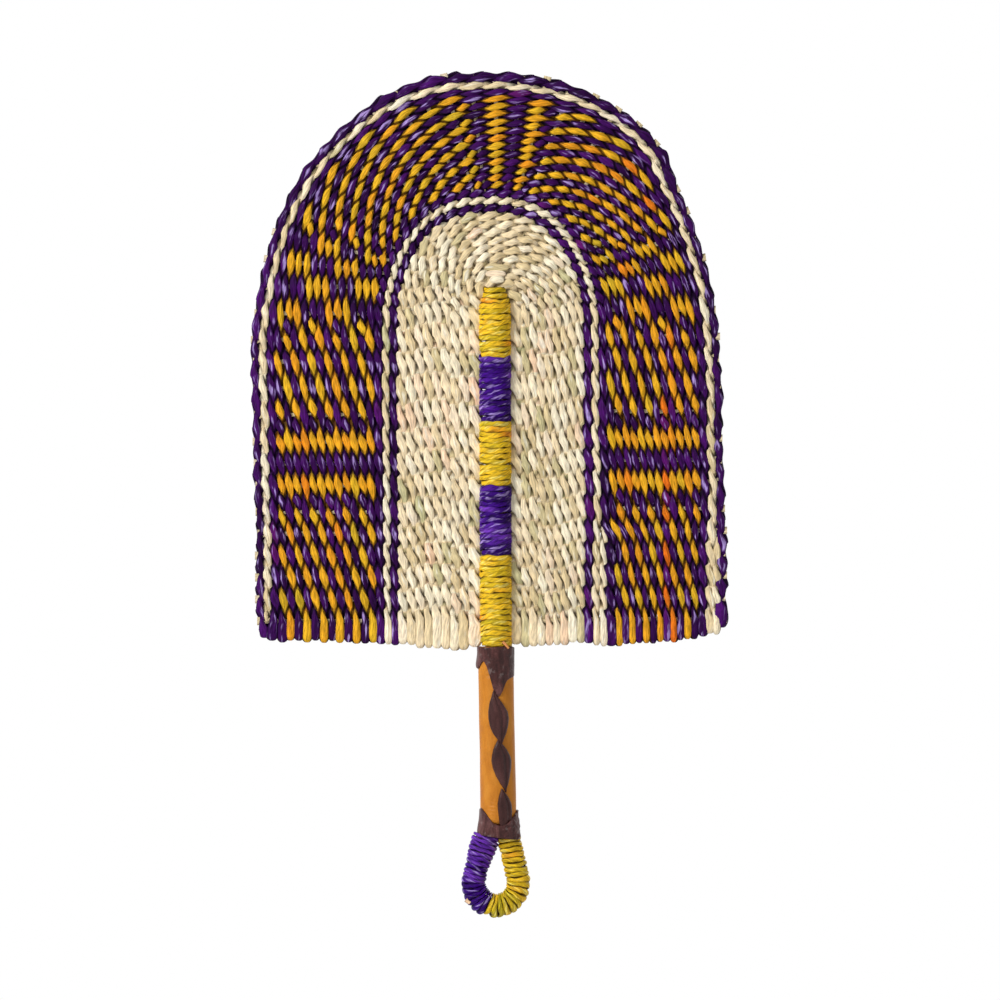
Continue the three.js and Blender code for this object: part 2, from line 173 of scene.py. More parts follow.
# The turns of the winding leave a slot at each warp, which sets the height of both.
FIT_GAP = 0.3
HANDLE_TOP = 46.0
TURN_WIDTH = 2.05
TURN_GAP = 0.45
WARP_SLOT = 1.2
TURNS_TO_WARP = (5, 4, 4, 4, 4, 4, 5, 4, 4, 5, 5, 5, 4, 5)
TURNS_ABOVE = 5

# The rows of each band, from the spine outwards, and how far apart they are.
ROW_BANDS = (("natural_row", 9), ("border_row", 3), ("field_row", 12), ("edge_row", 3))
ROW_COUNT = 27
LEFT_PITCHES = (4.7, 4.0, 4.35, 4.0)
RIGHT_PITCHES = (4.05, 4.0, 3.9875, 4.0)
CROWN_PITCHES = (4.25, 4.0, 4.0708, 4.0)
CROWN_EDGE_ROWS = (3.1, 3.6, 5.0)
SPINE_EDGE = 9.4
CROWN_GAP = 1.4
DRAWN_IN = 1.9

# The arch of a row over the crown, and the heights of its two feet by its number.
ARCH_HEIGHTS = (7.0, 144.0)
SIDE_EXPONENT = 2.47
CROWN_EXPONENT = 1.8
ARCH_POINTS = 721
LEG_POINTS = 120
LEFT_FEET = ((0.5, 1.5, 3.0, 4.5, 6.0, 8.5, 10.0, 12.0, 24.0, 24.8, 25.2, 25.8, 26.2, 27.0),
             (45.4, 43.4, 43.6, 44.2, 44.6, 46.0, 45.2, 47.1, 48.0, 48.2, 58.0, 58.0, 48.8, 49.4))
RIGHT_FEET = ((0.5, 1.5, 3.0, 6.0, 8.5, 10.0, 12.0, 15.0, 20.0, 23.0, 24.5, 25.5, 26.5),
              (45.8, 45.2, 45.2, 46.0, 47.6, 46.0, 45.8, 46.8, 47.4, 48.6, 50.2, 52.2, 55.8))

# How the rows lean and bulge, and the heights, or the distances across, between which they do.
LEAN_LEFT = 2.6
LEAN_LEFT_SPAN = (200.0, 60.0)
LEAN_RIGHT = 1.0
LEAN_RIGHT_SPAN = (160.0, 130.0)
LEFT_SIDE = 0.9
LEFT_SHOULDER = 2.2
LEFT_SHOULDER_SPAN = (290.0, 318.0)
LEFT_ACROSS = (8.0, 60.0)
RIGHT_BULGE = 3.4
RIGHT_BULGE_SPANS = ((280.0, 303.0), (345.0, 312.0))
RIGHT_HOLLOW = 1.9
RIGHT_HOLLOW_SPANS = ((178.0, 200.0), (305.0, 285.0))
RIGHT_ACROSS = (8.0, 50.0)
SPREAD_ROWS = (11.0, 11.5, 12.5, 23.5, 25.5, 26.5)
SPREAD_RIGHT = (0.0, 3.6, 3.6, -1.4, -1.3, 0.6)
SPREAD_SPAN = (114.0, 100.0)
CLOSED_ROWS = (23.5, 24.0, 25.0, 25.3, 25.7, 26.0)
CLOSED_LEFT = (0.0, -1.3, -1.3, 0.0, 0.0, 2.2)
CLOSED_SPAN = (66.0, 53.0)
WANDER = 0.9
WANDER_LENGTH = 45
WANDER_SEED = 3.0
WANDER_FULL_ROW = 3

# The reeds: where they end, how flat they are, and where something grips them.
SHEAF_LEVEL = 233.15
SHEAF_RADIUS = 2.0
SHEAF_HALF_WIDTH = 0.2
SHEAF_SPREAD = 0.012
CROWN_WARPS = 27
RIGHT_TILT = 0.019
RIGHT_TILT_FROM = 2.0
RIGHT_RISE = 1.9
RIGHT_RISE_SPAN = (60.0, 120.0)
RIGHT_RISE_ACROSS = (15.0, 55.0)
CROWN_TIPS = (1, 2, 11, 15, 17, 18, 19, 20, 22, 23, 25)
LEFT_TIPS = (1, 2, 3, 4)
RIGHT_TIPS = (1, 3, 5, 13)
REED_PROUD = 0.8
REED_SHORT = 0.9
REED_UNEVEN = (-1.0, 0.6)
CROWN_SHORT = (0.8, 2.0)
REED_HALF_WIDTH = 1.2
REED_HALF_THICK = 0.4
REED_TIP_WIDTH = 2.1
REED_TIP_SPAN = (6.0, 2.0)
REED_PINCH = 0.55
REED_PINCH_SPAN = (8.8, 13.5)
REED_STEP = 2.5
REED_FEWEST_STEPS = 12
REED_TONES = (0.2, 1.0)
REED_SEED = 11
LUMP_SCALE = (330, 330, 330)
DRIFT_SCALE = (170, 170, 170)
REED_SHADES = ((0.0, (196, 178, 132)), (0.5, (228, 208, 164)), (1.0, (240, 222, 190)))
NATURAL_SHADOW = (66, 46, 20)
# The painted highlight: pale streaks along the fibres on the front middle of a seed, away from its
# edges.
HIGHLIGHT_SHIFT = (5.1, 3.7, 0.0)
HIGHLIGHT_PATCHES = (0.54, 0.68)
HIGHLIGHT_FOLDS = (0.1, 0.6)
HIGHLIGHT_EDGES = (0.4, 1.0)
FIBRE_RANGE = (0.28, 0.72)
FIBRE_HEIGHT = 0.3

turn_levels = []
warp_levels = []
height = HANDLE_TOP + FIT_GAP
for count in (*TURNS_TO_WARP, TURNS_ABOVE):
    for _ in range(count):
        turn_levels.append(height + TURN_WIDTH / 2)
        height += TURN_WIDTH + TURN_GAP
    height -= TURN_GAP
    spine_top = height
    warp_levels.append(height + FIT_GAP + WARP_SLOT / 2)
    height += 2 * FIT_GAP + WARP_SLOT
warp_levels.pop()


def row_edges(first, pitches):
    """The distances of the rows' edges from the spine, or from its tip."""
    steps = [pitch for (_, count), pitch in zip(ROW_BANDS, pitches) for _ in range(count)]
    return first + np.cumsum([0.0, *steps])


left_edges = row_edges(SPINE_EDGE, LEFT_PITCHES)
right_edges = row_edges(SPINE_EDGE, RIGHT_PITCHES)
crown_edges = row_edges(CROWN_GAP, CROWN_PITCHES)
crown_edges[-3:] = crown_edges[-4] + np.cumsum(CROWN_EDGE_ROWS)
for edges in (left_edges, right_edges, crown_edges):
    edges[0] -= DRAWN_IN


def ease(value, low, high):
    """A smooth step from zero at one value to one at another."""
    share = np.clip((value - low) / (high - low), 0.0, 1.0)
    return share * share * (3 - 2 * share)


def settled(x, z, rows):
    """Where weaving by hand has drawn a point: the left foot leans in, the right one spreads."""
    share = rows / ROW_COUNT
    left = LEAN_LEFT * share * ease(z, *LEAN_LEFT_SPAN)
    shoulder = LEFT_SIDE + LEFT_SHOULDER * ease(z, *LEFT_SHOULDER_SPAN)
    left = left + share * ease(-x, *LEFT_ACROSS) * shoulder
    left = left + np.interp(rows, CLOSED_ROWS, CLOSED_LEFT) * ease(z, *CLOSED_SPAN)
    right = LEAN_RIGHT * share * ease(z, *LEAN_RIGHT_SPAN)
    right = right + np.interp(rows, SPREAD_ROWS, SPREAD_RIGHT) * ease(z, *SPREAD_SPAN)
    below, above = RIGHT_BULGE_SPANS
    bulge = RIGHT_BULGE * ease(z, *below) * ease(z, *above)
    below, above = RIGHT_HOLLOW_SPANS
    hollow = RIGHT_HOLLOW * ease(z, *below) * ease(z, *above)
    right = right + share * ease(x, *RIGHT_ACROSS) * (bulge - hollow)
    places = zip(x / WANDER_LENGTH, z / WANDER_LENGTH)
    wander = np.array([WANDER * noise.noise((*place, WANDER_SEED)) for place in places])
    return np.where(x < 0, x + left, x + right) + wander * min(1.0, rows / WANDER_FULL_ROW)


def row_line(rows):
    """The curve at a count of rows from the spine, from its left foot over to its right one."""
    counts = range(ROW_COUNT + 1)
    left = np.interp(rows, counts, left_edges)
    right = np.interp(rows, counts, right_edges)
    rise = np.interp(rows, (0, ROW_COUNT), ARCH_HEIGHTS)
    springing = spine_top + np.interp(rows, counts, crown_edges) - rise
    feet = [np.interp(rows, *levels) for levels in (LEFT_FEET, RIGHT_FEET)]
    angle = np.linspace(0.0, pi, ARCH_POINTS)
    reach = np.sign(np.cos(angle)) * np.abs(np.cos(angle)) ** (2 / SIDE_EXPONENT)
    x = (right - left) / 2 - (right + left) / 2 * reach
    z = springing + rise * np.clip(np.sin(angle), 0.0, 1.0) ** (2 / CROWN_EXPONENT)
    legs = [np.linspace(foot, springing, LEG_POINTS, endpoint=False) for foot in feet]
    x = np.concatenate([np.full(LEG_POINTS, -left), x, np.full(LEG_POINTS, right)])
    z = np.concatenate([legs[0], z, legs[1][::-1]])
    return settled(x, z, rows), z


def at_heights(heights, z, values, right):
    """What a row's curve has at the given heights, up its left side or up its right one."""
    top = int(np.argmax(z))
    side = slice(None, top, -1) if right else slice(None, top)
    return np.interp(heights, z[side], values[side])


def path_object(name, runs):
    """A mesh of open runs of points, which carries the values that a tree reads at each point."""
    stops = [stop for run in runs for stop in run]
    edges = []
    first = 0
    for run in runs:
        edges += [(first + step, first + step + 1) for step in range(len(run) - 1)]
        first += len(run)
    mesh = bpy.data.meshes.new(name)
    mesh.from_pydata([Vector(stop["place"]) * MM for stop in stops], edges, [])
    for label in stops[0]:
        if label == "place":
            continue
        values = np.array([stop[label] for stop in stops], np.float32)
        if values.ndim == 1:
            mesh.attributes.new(label, "FLOAT", "POINT").data.foreach_set("value", values)
        else:
            attribute = mesh.attributes.new(label, "FLOAT_VECTOR", "POINT")
            attribute.data.foreach_set("vector", values.ravel())
    piece = bpy.data.objects.new(name, mesh)
    bpy.context.scene.collection.objects.link(piece)
    return piece


def new_tree(name, inputs):
    """A geometry tree: itself, the wires of its named inputs, and their keys in a modifier."""
    tree = bpy.data.node_groups.new(name, "GeometryNodeTree")
    keys = {}
    for label, kind in inputs.items():
        socket = tree.interface.new_socket(label, in_out="INPUT", socket_type="NodeSocket" + kind)
        keys[label] = socket.identifier
    tree.interface.new_socket("Piece", in_out="OUTPUT", socket_type="NodeSocketGeometry")
    inlet = tree.nodes.new("NodeGroupInput")
    return tree, {label: Wire(tree, inlet.outputs[label]) for label in inputs}, keys


def stored(geometry, label, value, kind="FLOAT"):
    sockets = {"Geometry": geometry, "Name": label, "Value": value}
    return geometry.node("GeometryNodeStoreNamedAttribute", {"data_type": kind}, sockets)


def read(wire, label, kind="FLOAT"):
    return wire.node("GeometryNodeInputNamedAttribute", {"data_type": kind}, {"Name": label})


def tube_on(path, sides):
    """A tube of unit size along a path, which knows its centre, its length so far and its round."""
    curve = path.node("GeometryNodeMeshToCurve", None, {"Mesh": path})
    curve = stored(curve, "centre", path.node("GeometryNodeInputPosition"), "FLOAT_VECTOR")
    curve = stored(curve, "along", path.node("GeometryNodeSplineParameter", None, None, "Length"))
    curve = stored(curve, "tangent", path.node("GeometryNodeInputTangent"), "FLOAT_VECTOR")
    sockets = {"Resolution": sides, "Radius": MM}
    circle = path.node("GeometryNodeCurvePrimitiveCircle", None, sockets)
    share = path.node("GeometryNodeSplineParameter", None, None, "Factor")
    circle = stored(circle, "round", share * (-2 * pi))
    sockets = {"Curve": curve, "Profile Curve": circle, "Fill Caps": True}
    return path.node("GeometryNodeCurveToMesh", None, sockets)


def moved(tube, across, across_by, deep, deep_by):
    """The tube's points, put at two distances from its centre, along two directions."""
    place = read(tube, "centre", "FLOAT_VECTOR")
    place = place.vector("ADD", across.scaled(across_by)).vector("ADD", deep.scaled(deep_by))
    return tube.node("GeometryNodeSetPosition", None, {"Geometry": tube, "Position": place})


def marked(tube, turned, edge):
    """The tube with the values that its finish reads: where a fibre lies, and how near the edge."""
    sockets = {0: turned.math("COSINE"), 1: turned.math("SINE"), 2: read(tube, "along")}
    grain = tube.node("ShaderNodeCombineXYZ", None, sockets)
    return stored(stored(tube, "grain", grain, "FLOAT_VECTOR"), "edge", edge)


def close_tree(geometry, straw):
    """Ends a geometry tree in smooth, real faces with their finish."""
    smooth = geometry.node("GeometryNodeSetShadeSmooth", None, {0: geometry})
    real = geometry.node("GeometryNodeRealizeInstances", None, {"Geometry": smooth})
    sockets = {"Geometry": real, "Material": straw}
    dressed = geometry.node("GeometryNodeSetMaterial", None, sockets)
    geometry.node("NodeGroupOutput", None, {"Piece": dressed})


TREE_VALUES = ("centre", "along", "tangent", "round", "side", "rise", "half_width", "half_thick",
               "turn", "reach", "swell", "pitch", "hue")


def grow(name, runs, maker, settings, node):
    """Makes the piece that a tree grows on runs of points: a plain mesh in a node's place."""
    piece = path_object(name, runs)
    tree, keys = maker
    modifier = piece.modifiers.new(tree.name, "NODES")
    modifier.node_group = tree
    for label, value in settings.items():
        modifier[keys[label]] = value
    graph = bpy.context.evaluated_depsgraph_get()
    grown = piece.evaluated_get(graph)
    mesh = bpy.data.meshes.new_from_object(grown, preserve_all_data_layers=True, depsgraph=graph)
    piece.modifiers.remove(modifier)
    piece.data = mesh
    for label in TREE_VALUES:
        if label in mesh.attributes:
            mesh.attributes.remove(mesh.attributes[label])
    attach(piece, "root")
    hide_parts(node)


def laid_straw_tree():
    """A flat or round straw that follows a path, with twisted plies, lumps and a waver."""
    tree, wire, keys = new_tree("laid straw", {
        "Path": "Geometry", "Sides": "Int", "Plies": "Float", "Ply Depth": "Float",
        "Twist": "Float", "Lumps": "Float", "Waver": "Float", "Straw": "Material",
    })
    tube = tube_on(wire["Path"], wire["Sides"])
    around = read(tube, "round")
    turned = around + read(tube, "along") * wire["Twist"]
    crease = (turned * wire["Plies"]).math("COSINE") * 0.5 - 0.5
    spot = read(tube, "centre", "FLOAT_VECTOR")
    lump = spot.noise(LUMP_SCALE, 2.0) - 0.5
    drift = spot.noise(DRIFT_SCALE, 1.0) - 0.5
    size = 1.0 + wire["Ply Depth"] * crease + wire["Lumps"] * lump
    across = read(tube, "half_width") * size * around.math("COSINE") + wire["Waver"] * drift
    deep = read(tube, "half_thick") * size * around.math("SINE")
    side = read(tube, "side", "FLOAT_VECTOR")
    rise = read(tube, "rise", "FLOAT_VECTOR")
    edge = around.math("COSINE").math("ABSOLUTE")
    straw = marked(moved(tube, side, across, rise, deep), turned, edge)
    tangent = read(tube, "tangent", "FLOAT_VECTOR")
    inward = side.vector("CROSS_PRODUCT", rise).vector("DOT_PRODUCT", tangent, "Value")
    straw = straw.node("GeometryNodeFlipFaces", None, {"Mesh": straw, "Selection": inward})
    close_tree(straw, wire["Straw"])
    return tree, keys


laid_straw = laid_straw_tree()


def straw_finish(name, dyed, plain, highlight_colour, highlight_share, gap, rim, gloss, contrast, shine,
                 fibre=(2.4, 2.4, 210), fold_shade=(-0.6, 0.3), edge_shade=(0.7, 1.25)):
    """Dyed or plain grass: shades by strand and fibres along it, painted shade where a strand folds
    in behind and at its edges, and pale streaks on the front of each seed as a painted highlight.

    dyed and plain are each the shades of a straw and the colour of its painted shadow. gap says how
    light the painted shade in the folds stays, and rim how dark the painted shade at the edges
    gets.
    """
    material, bare = new_finish(name)
    tone, fold, edge, undyed = [
        bare.node("ShaderNodeAttribute", {"attribute_name": label}, None, "Fac")
        for label in ("tone", "fold", "edge", "dye")]
    grain = bare.node("ShaderNodeAttribute", {"attribute_name": "grain"}, None, "Vector")
    fibres = grain.noise(fibre, 4.0).eased(*FIBRE_RANGE)
    # Pale streaks on the outward front of a seed, away from its edges, as a painted highlight.
    coarse = tuple(value / 2 for value in fibre)
    painted_highlight = grain.vector("ADD", HIGHLIGHT_SHIFT).noise(coarse, 2.0).eased(*HIGHLIGHT_PATCHES)
    painted_highlight = painted_highlight * fold.eased(*HIGHLIGHT_FOLDS) * (1.0 - edge.eased(*HIGHLIGHT_EDGES)) * highlight_share
    colour = tone.shaded(dyed[0]).towards(tone.shaded(plain[0]), undyed)
    colour = colour.towards(level(*highlight_colour), painted_highlight * (1.0 - undyed))
    colour = colour.scaled((1.0 - contrast / 2) + contrast * fibres)
    # Painted shade: darker, down to the shadow colour, where a strand turns in behind another and
    # at its edges.
    lit = gap + (1.0 - gap) * fold.eased(*fold_shade)
    lit = lit * (1.0 - rim * edge.eased(*edge_shade))
    shadows = {0: undyed, 6: level(*dyed[1]), 7: level(*plain[1])}
    shadow = bare.node("ShaderNodeMix", {"data_type": "RGBA"}, shadows, 2)
    close_finish(bare, fibres, FIBRE_HEIGHT, {
        "Base Color": shadow.towards(colour, lit), "Roughness": gloss + 0.25 * fibres,
        "Specular IOR Level": shine,
    })
    return material


# The reeds get faint painted shade at their edges and faint pale streaks as a painted highlight.
reed = REED_SHADES, NATURAL_SHADOW
reed_straw = straw_finish(
    "reed", reed, reed, highlight_colour=(250, 238, 210), highlight_share=0.2, gap=0.8, rim=0.2, gloss=0.5,
    contrast=0.4, shine=0.15)


def right_rise(z):
    """How much higher the warps lie on the right wing than on the left one."""
    return RIGHT_RISE * (0.5 + 0.5 * ease(z, *RIGHT_RISE_SPAN))


def reed_run(start, end, pinch, chance, rise=0.0):
    """The points of one reed from tip to tip, narrow where the spine or the crown grips it."""
    start, end = Vector(start), Vector(end)
    along = (end - start).normalized()
    length = (end - start).length
    count = max(REED_FEWEST_STEPS, round(length / REED_STEP))
    tone = chance.uniform(*REED_TONES)
    run = []
    for step in range(count + 1):
        place = start.lerp(end, step / count)
        place.z += rise * ease(place.x, *RIGHT_RISE_ACROSS)
        tip = min(step, count - step) / count * length
        wide = pinch(place)
        wide += (REED_TIP_WIDTH - wide) * ease(tip, *REED_TIP_SPAN)
        run.append({
            "place": place, "side": Vector((0, 1, 0)).cross(along), "rise": Vector((0, 1, 0)),
            "half_width": wide * MM, "half_thick": REED_HALF_THICK * MM,
            "tone": tone, "fold": 1.0, "dye": 0.0,
        })
    return run


def spine_pinch(place):
    """Half the width of a reed that the two sticks grip."""
    open_share = ease(abs(place.x), *REED_PINCH_SPAN)
    return REED_PINCH + (REED_HALF_WIDTH - REED_PINCH) * open_share


def crown_pinch(place):
    """Half the width of a reed of the sheaf, which is thin where they all meet."""
    reach = hypot(place.x, place.z - SHEAF_LEVEL)
    return min(REED_HALF_WIDTH, SHEAF_HALF_WIDTH + SHEAF_SPREAD * reach)


chance = Random(REED_SEED)
laid_reed = {"Sides": 10, "Plies": 4.0, "Ply Depth": 0.1, "Twist": 60.0, "Lumps": 0.3,
             "Waver": 0.5 * MM, "Straw": reed_straw}
edge_x, edge_z = row_line(ROW_COUNT)
for number, height in enumerate(warp_levels, 1):
    left = at_heights(height, edge_z, edge_x, False)
    left -= REED_PROUD if number in LEFT_TIPS else REED_SHORT * chance.uniform(*REED_UNEVEN)
    right = at_heights(height, edge_z, edge_x, True)
    right += REED_PROUD if number in RIGHT_TIPS else REED_SHORT * chance.uniform(*REED_UNEVEN)
    start, end = (left, 0, height), (right, 0, height)
    run = reed_run(start, end, spine_pinch, chance, right_rise(height))
    node = f"cross_warp_{number:02d}"
    grow("reed_" + node, [run], laid_straw, laid_reed, node)


def ray_angle(x, z):
    """The angle of a point about the foot of the sheaf, from the left over to the right."""
    angle = np.arctan2(z - SHEAF_LEVEL, -x)
    return np.where(angle < -pi / 2, angle + 2 * pi, angle)


edge_angle = ray_angle(edge_x, edge_z)
crown_angles = np.linspace(0.0, pi, CROWN_WARPS)
crown_angles = crown_angles - RIGHT_TILT * ease(crown_angles, RIGHT_TILT_FROM, pi)
runs = []
for number, angle in enumerate(crown_angles):
    x = np.interp(angle, edge_angle, edge_x)
    z = np.interp(angle, edge_angle, edge_z)
    reach = hypot(x, z - SHEAF_LEVEL)
    proud = REED_PROUD if number in CROWN_TIPS else -chance.uniform(*CROWN_SHORT)
    start, end = [(x * share, 0, SHEAF_LEVEL + (z - SHEAF_LEVEL) * share)
                  for share in (SHEAF_RADIUS / reach, 1 + proud / reach)]
    runs.append(reed_run(start, end, crown_pinch, chance))
grow("reed_crown_warps", runs, laid_straw, laid_reed, "crown_warps")

# Twined rows
# Each row is two grass strands that cross between neighbouring warps, so that every warp has one
# seed-shaped strand on its front and one on its back. At the foot they fold into one another.

# Which rows are which, counted from the spine.
NATURAL_ROWS = 9
FIELD_ROWS = range(12, 24)
EDGE_LINE_ROW = 25
OUTERMOST_ROW = 26
ROW_WIDTHS = {9: 1.08, 10: 0.84, 11: 1.08, 24: 1.08, 25: 0.86, 26: 1.0}
WIDEST_ROW = 5.0
WIDEST_FIRST_ROW = 6.2

# Where the seeds lie along a row, and how far they stray from that.
CROWN_STEPS = (6.6, 9.6)
BORDER_STEP = 7.2
RISE_ROWS = (2.0, 12.0)
JITTER = 0.6
NATURAL_JITTER = 0.9
PHASE = 0.4
NATURAL_PHASE = 2.2
MAKE_ROOM = 2.4
BELOW_FIRST_TIP = 4.0
NOTCH_SHARE = 0.24
NOTCH_DEPTH = 0.4
STEP = 1.25
FEWEST_STEPS = 6

# The colour pattern of the field, by the number of a seed from the left foot.
CROWN_BARS = range(27, 31)
MIRROR = 56
STRIPES = range(7, 10)
STRIPES_BEGIN = (7, 47)
STRIPES_END = (10, 50)
BLOCKS = range(14, 18)
BLOCK_ROWS = 3

# The feet of the rows, and the loose strands that begin part of the way along.
UNEVEN_FEET = 1.5
FOOT_STEPS = 9
FOLD_STEPS = 8
FOLD_LENGTH = 2.8
FINGER_TIP = 5.0
FINGER_TIP_SIZE = 0.15
FINGER_SLIM = 0.16
FINGER_SLIM_SPAN = (20.0, 13.0)
FINGER_FULL = 0.2
FINGER_FULL_SPAN = (12.0, 5.5)
EXTRA_TOPS = {10: 109.0, 25: 104.0}
EXTRA_FOOT = 47.5
EXTRA_BEFORE_SEED = 4
EXTRA_POINTS = 60
EXTRA_PITCH = 3.4
EXTRA_POINT_SIZE = 0.2
EXTRA_POINT_LENGTH = 9.0
KNOTS = ((243.2, -5.8, 6.6, 3.6), (239.9, -5.4, 5.0, 3.4), (236.9, -3.2, 4.2, 3.4))
KNOT_POINTS = 15
KNOT_TURN = -2.0
KNOT_SAG = 0.5
KNOT_REACH = 1.5
KNOT_TIP_SIZE = 0.25
KNOT_HUE = 0.4

# The form of a seed, as shares of its row's width, and the spread that chance gives it. The
# almond setting shapes only the painted shade at a seed's edges, not its form.
SEED_SIDES = 12
ROW_SEED = 100
SEEDS_PER_ROW = 40
DRAWS = ("width", "stray", "thickness", "twist", "tone", "ridge")
SEED_FORMS = {
    "natural": {"Seed Width": 0.62, "Rear": 0.0, "Swing": 0.3, "Shade Almond": 0.0},
    "purple": {"Seed Width": 0.62, "Rear": 0.16, "Swing": 0.22, "Shade Almond": 1.0},
    "outermost": {"Seed Width": 0.62, "Rear": 0.08, "Swing": 0.22, "Shade Almond": 0.4},
    "field": {"Seed Width": 0.57, "Rear": 0.16, "Swing": 0.22, "Shade Almond": 1.0},
}
EDGE_LINE_SEED_WIDTH = 0.66
SEED_THICKNESS = 0.95
NECK_THICKNESS = 0.85
SEED_DEPTH = 1.45
STRAY = 0.25
EDGE_STRAY = 0.45
WIDTH_SPREAD = (-0.14, 0.08)
THICKNESS_SPREAD = (0.85, 1.15)
STRAY_SPREAD = (-1.0, 1.0)
TONE_RANGE = (0.0, 1.0)
ANY_TURN = (0.0, 6.0)
# The lit part of a seed narrows to its necks inside the painted shade at its edges.
SHADE_ALMOND_NECK = 0.08
SHADE_ALMOND_BODY = 0.48
SHADE_ALMOND_POWER = 1.6
RIDGE_COUNT = 3.0
RIDGE_SHARE = 0.08
STRAND_TWIST = 45.0
STRAND_MARKS = (2000.0, 3000.0)

# The colours of the straw, and how they drift along a row.
NATURAL_SHADES = ((0.1, (202, 196, 148)), (0.28, (230, 206, 158)), (0.5, (252, 230, 190)),
                  (0.72, (255, 244, 214)), (0.9, (248, 208, 170)))
PURPLE_SHADES = ((0.0, (32, 4, 46)), (0.4, (54, 11, 76)), (0.8, (76, 19, 104)),
                 (1.0, (108, 22, 98)))
YELLOW_SHADES = ((0.0, (200, 168, 44)), (0.3, (234, 180, 40)), (0.7, (236, 156, 36)),
                 (1.0, (238, 108, 28)))
PURPLE_SHADOW = (8, 1, 12)
YELLOW_SHADOW = (46, 16, 8)
PLAIN_HUE = 0.5
FIELD_HUE = 0.4
RIGHT_HUES = (0.3, 0.4, 0.45, 0.4, 0.5, 0.3, 0.3, 0.95, 0.9, 0.5, 0.6, 0.5)
RIGHT_HUE_ACROSS = (20.0, 70.0)
RIGHT_HUE_SPAN = (260.0, 190.0)
HUE_DRIFT = 0.6
HUE_LENGTH = 60
HUE_ROW_STEP = 7.3
HUE_SEED = 0.5
SLOW_TONE = 0.6
NATURAL_SLOW_TONE = 0.3


def twined_row_tree():
    """Two strands twisted round each other along a path, a half turn from seed to seed."""
    tree, wire, keys = new_tree("twined row", {
        "Path": "Geometry", "Sides": "Int", "Seed Width": "Float", "Rear": "Float",
        "Ridges": "Float", "Seed Thickness": "Float", "Neck Thickness": "Float",
        "Swing": "Float", "Depth": "Float", "Stray": "Float", "Shade Almond": "Float",
        "Slow Tone": "Float", "First Dye": "Float", "Second Dye": "Float",
        "Random Seed": "Int", "Straw": "Material",
    })
    whole = tube_on(wire["Path"], wire["Sides"])
    around = read(whole, "round")
    pitch = read(whole, "pitch")
    swell = read(whole, "swell")
    neck = wire["Neck Thickness"]
    strands = []
    for strand, dye in enumerate((wire["First Dye"], wire["Second Dye"])):
        turn = read(whole, "turn") - float(strand)
        face = (turn * pi).math("COSINE")
        sway = (turn * pi).math("SINE")
        fold = face.math("ABSOLUTE")
        mark = (turn + 0.5).math("FLOOR") + STRAND_MARKS[strand]

        def drawn(what, low, high):
            seed = wire["Random Seed"] + (1 + DRAWS.index(what))
            sockets = {2: low, 3: high, "ID": mark, "Seed": seed}
            return whole.node("FunctionNodeRandomValue", {"data_type": "FLOAT"}, sockets, 1)

        wide = 1.0 + wire["Rear"] * (0.5 - face) + fold * drawn("width", *WIDTH_SPREAD)
        wide = wire["Seed Width"] * wide - wire["Swing"] * sway.math("ABSOLUTE")
        ridge = (around * RIDGE_COUNT + drawn("ridge", *ANY_TURN)).math("COSINE")
        ridge = 1.0 + wire["Ridges"] * ridge
        beside = wide * around.math("COSINE")
        # The painted shade at a seed's edges closes in towards each neck, so its lit part comes to
        # a point.
        lit_almond = SHADE_ALMOND_NECK + SHADE_ALMOND_BODY * fold ** SHADE_ALMOND_POWER
        shade_spindle = beside.math("ABSOLUTE") / (wide + wire["Shade Almond"] * (lit_almond - wide))
        across = beside * pitch * swell * ridge + wire["Swing"] * pitch * sway
        across = across + wire["Stray"] * fold * drawn("stray", *STRAY_SPREAD)
        thick = wire["Seed Thickness"] * drawn("thickness", *THICKNESS_SPREAD)
        thick = neck + (thick - neck) * fold
        deep = thick * swell * ridge * around.math("SINE")
        deep = deep - wire["Depth"] * face * read(whole, "reach")
        outward = read(whole, "tangent", "FLOAT_VECTOR").vector("CROSS_PRODUCT", (0, 1, 0))
        back = whole.node("ShaderNodeCombineXYZ", None, {1: 1.0})
        tube = moved(whole, outward.vector("NORMALIZE"), across, back, deep)
        twist = read(tube, "along") * STRAND_TWIST + drawn("twist", *ANY_TURN)
        tube = marked(tube, around + twist, shade_spindle)
        # Facing out of the fan or in behind the other strand: the finish paints shade where it
        # faces in.
        tube = stored(tube, "fold", face * around.math("SINE") * -1.0)
        slow = wire["Slow Tone"]
        tone = slow * read(tube, "hue") + (1.0 - slow) * drawn("tone", *TONE_RANGE)
        tube = stored(tube, "tone", tone)
        strands.append(stored(tube, "dye", dye))
    both = whole.node("GeometryNodeJoinGeometry", None, {"Geometry": strands})
    close_tree(both, wire["Straw"])
    return tree, keys


twined_row = twined_row_tree()
natural = NATURAL_SHADES, NATURAL_SHADOW
purple = PURPLE_SHADES, PURPLE_SHADOW
yellow = YELLOW_SHADES, YELLOW_SHADOW
dyed_straw = {"highlight_colour": (180, 154, 220), "highlight_share": 0.9, "shine": 0.05, "edge_shade": (0.75, 1.3)}
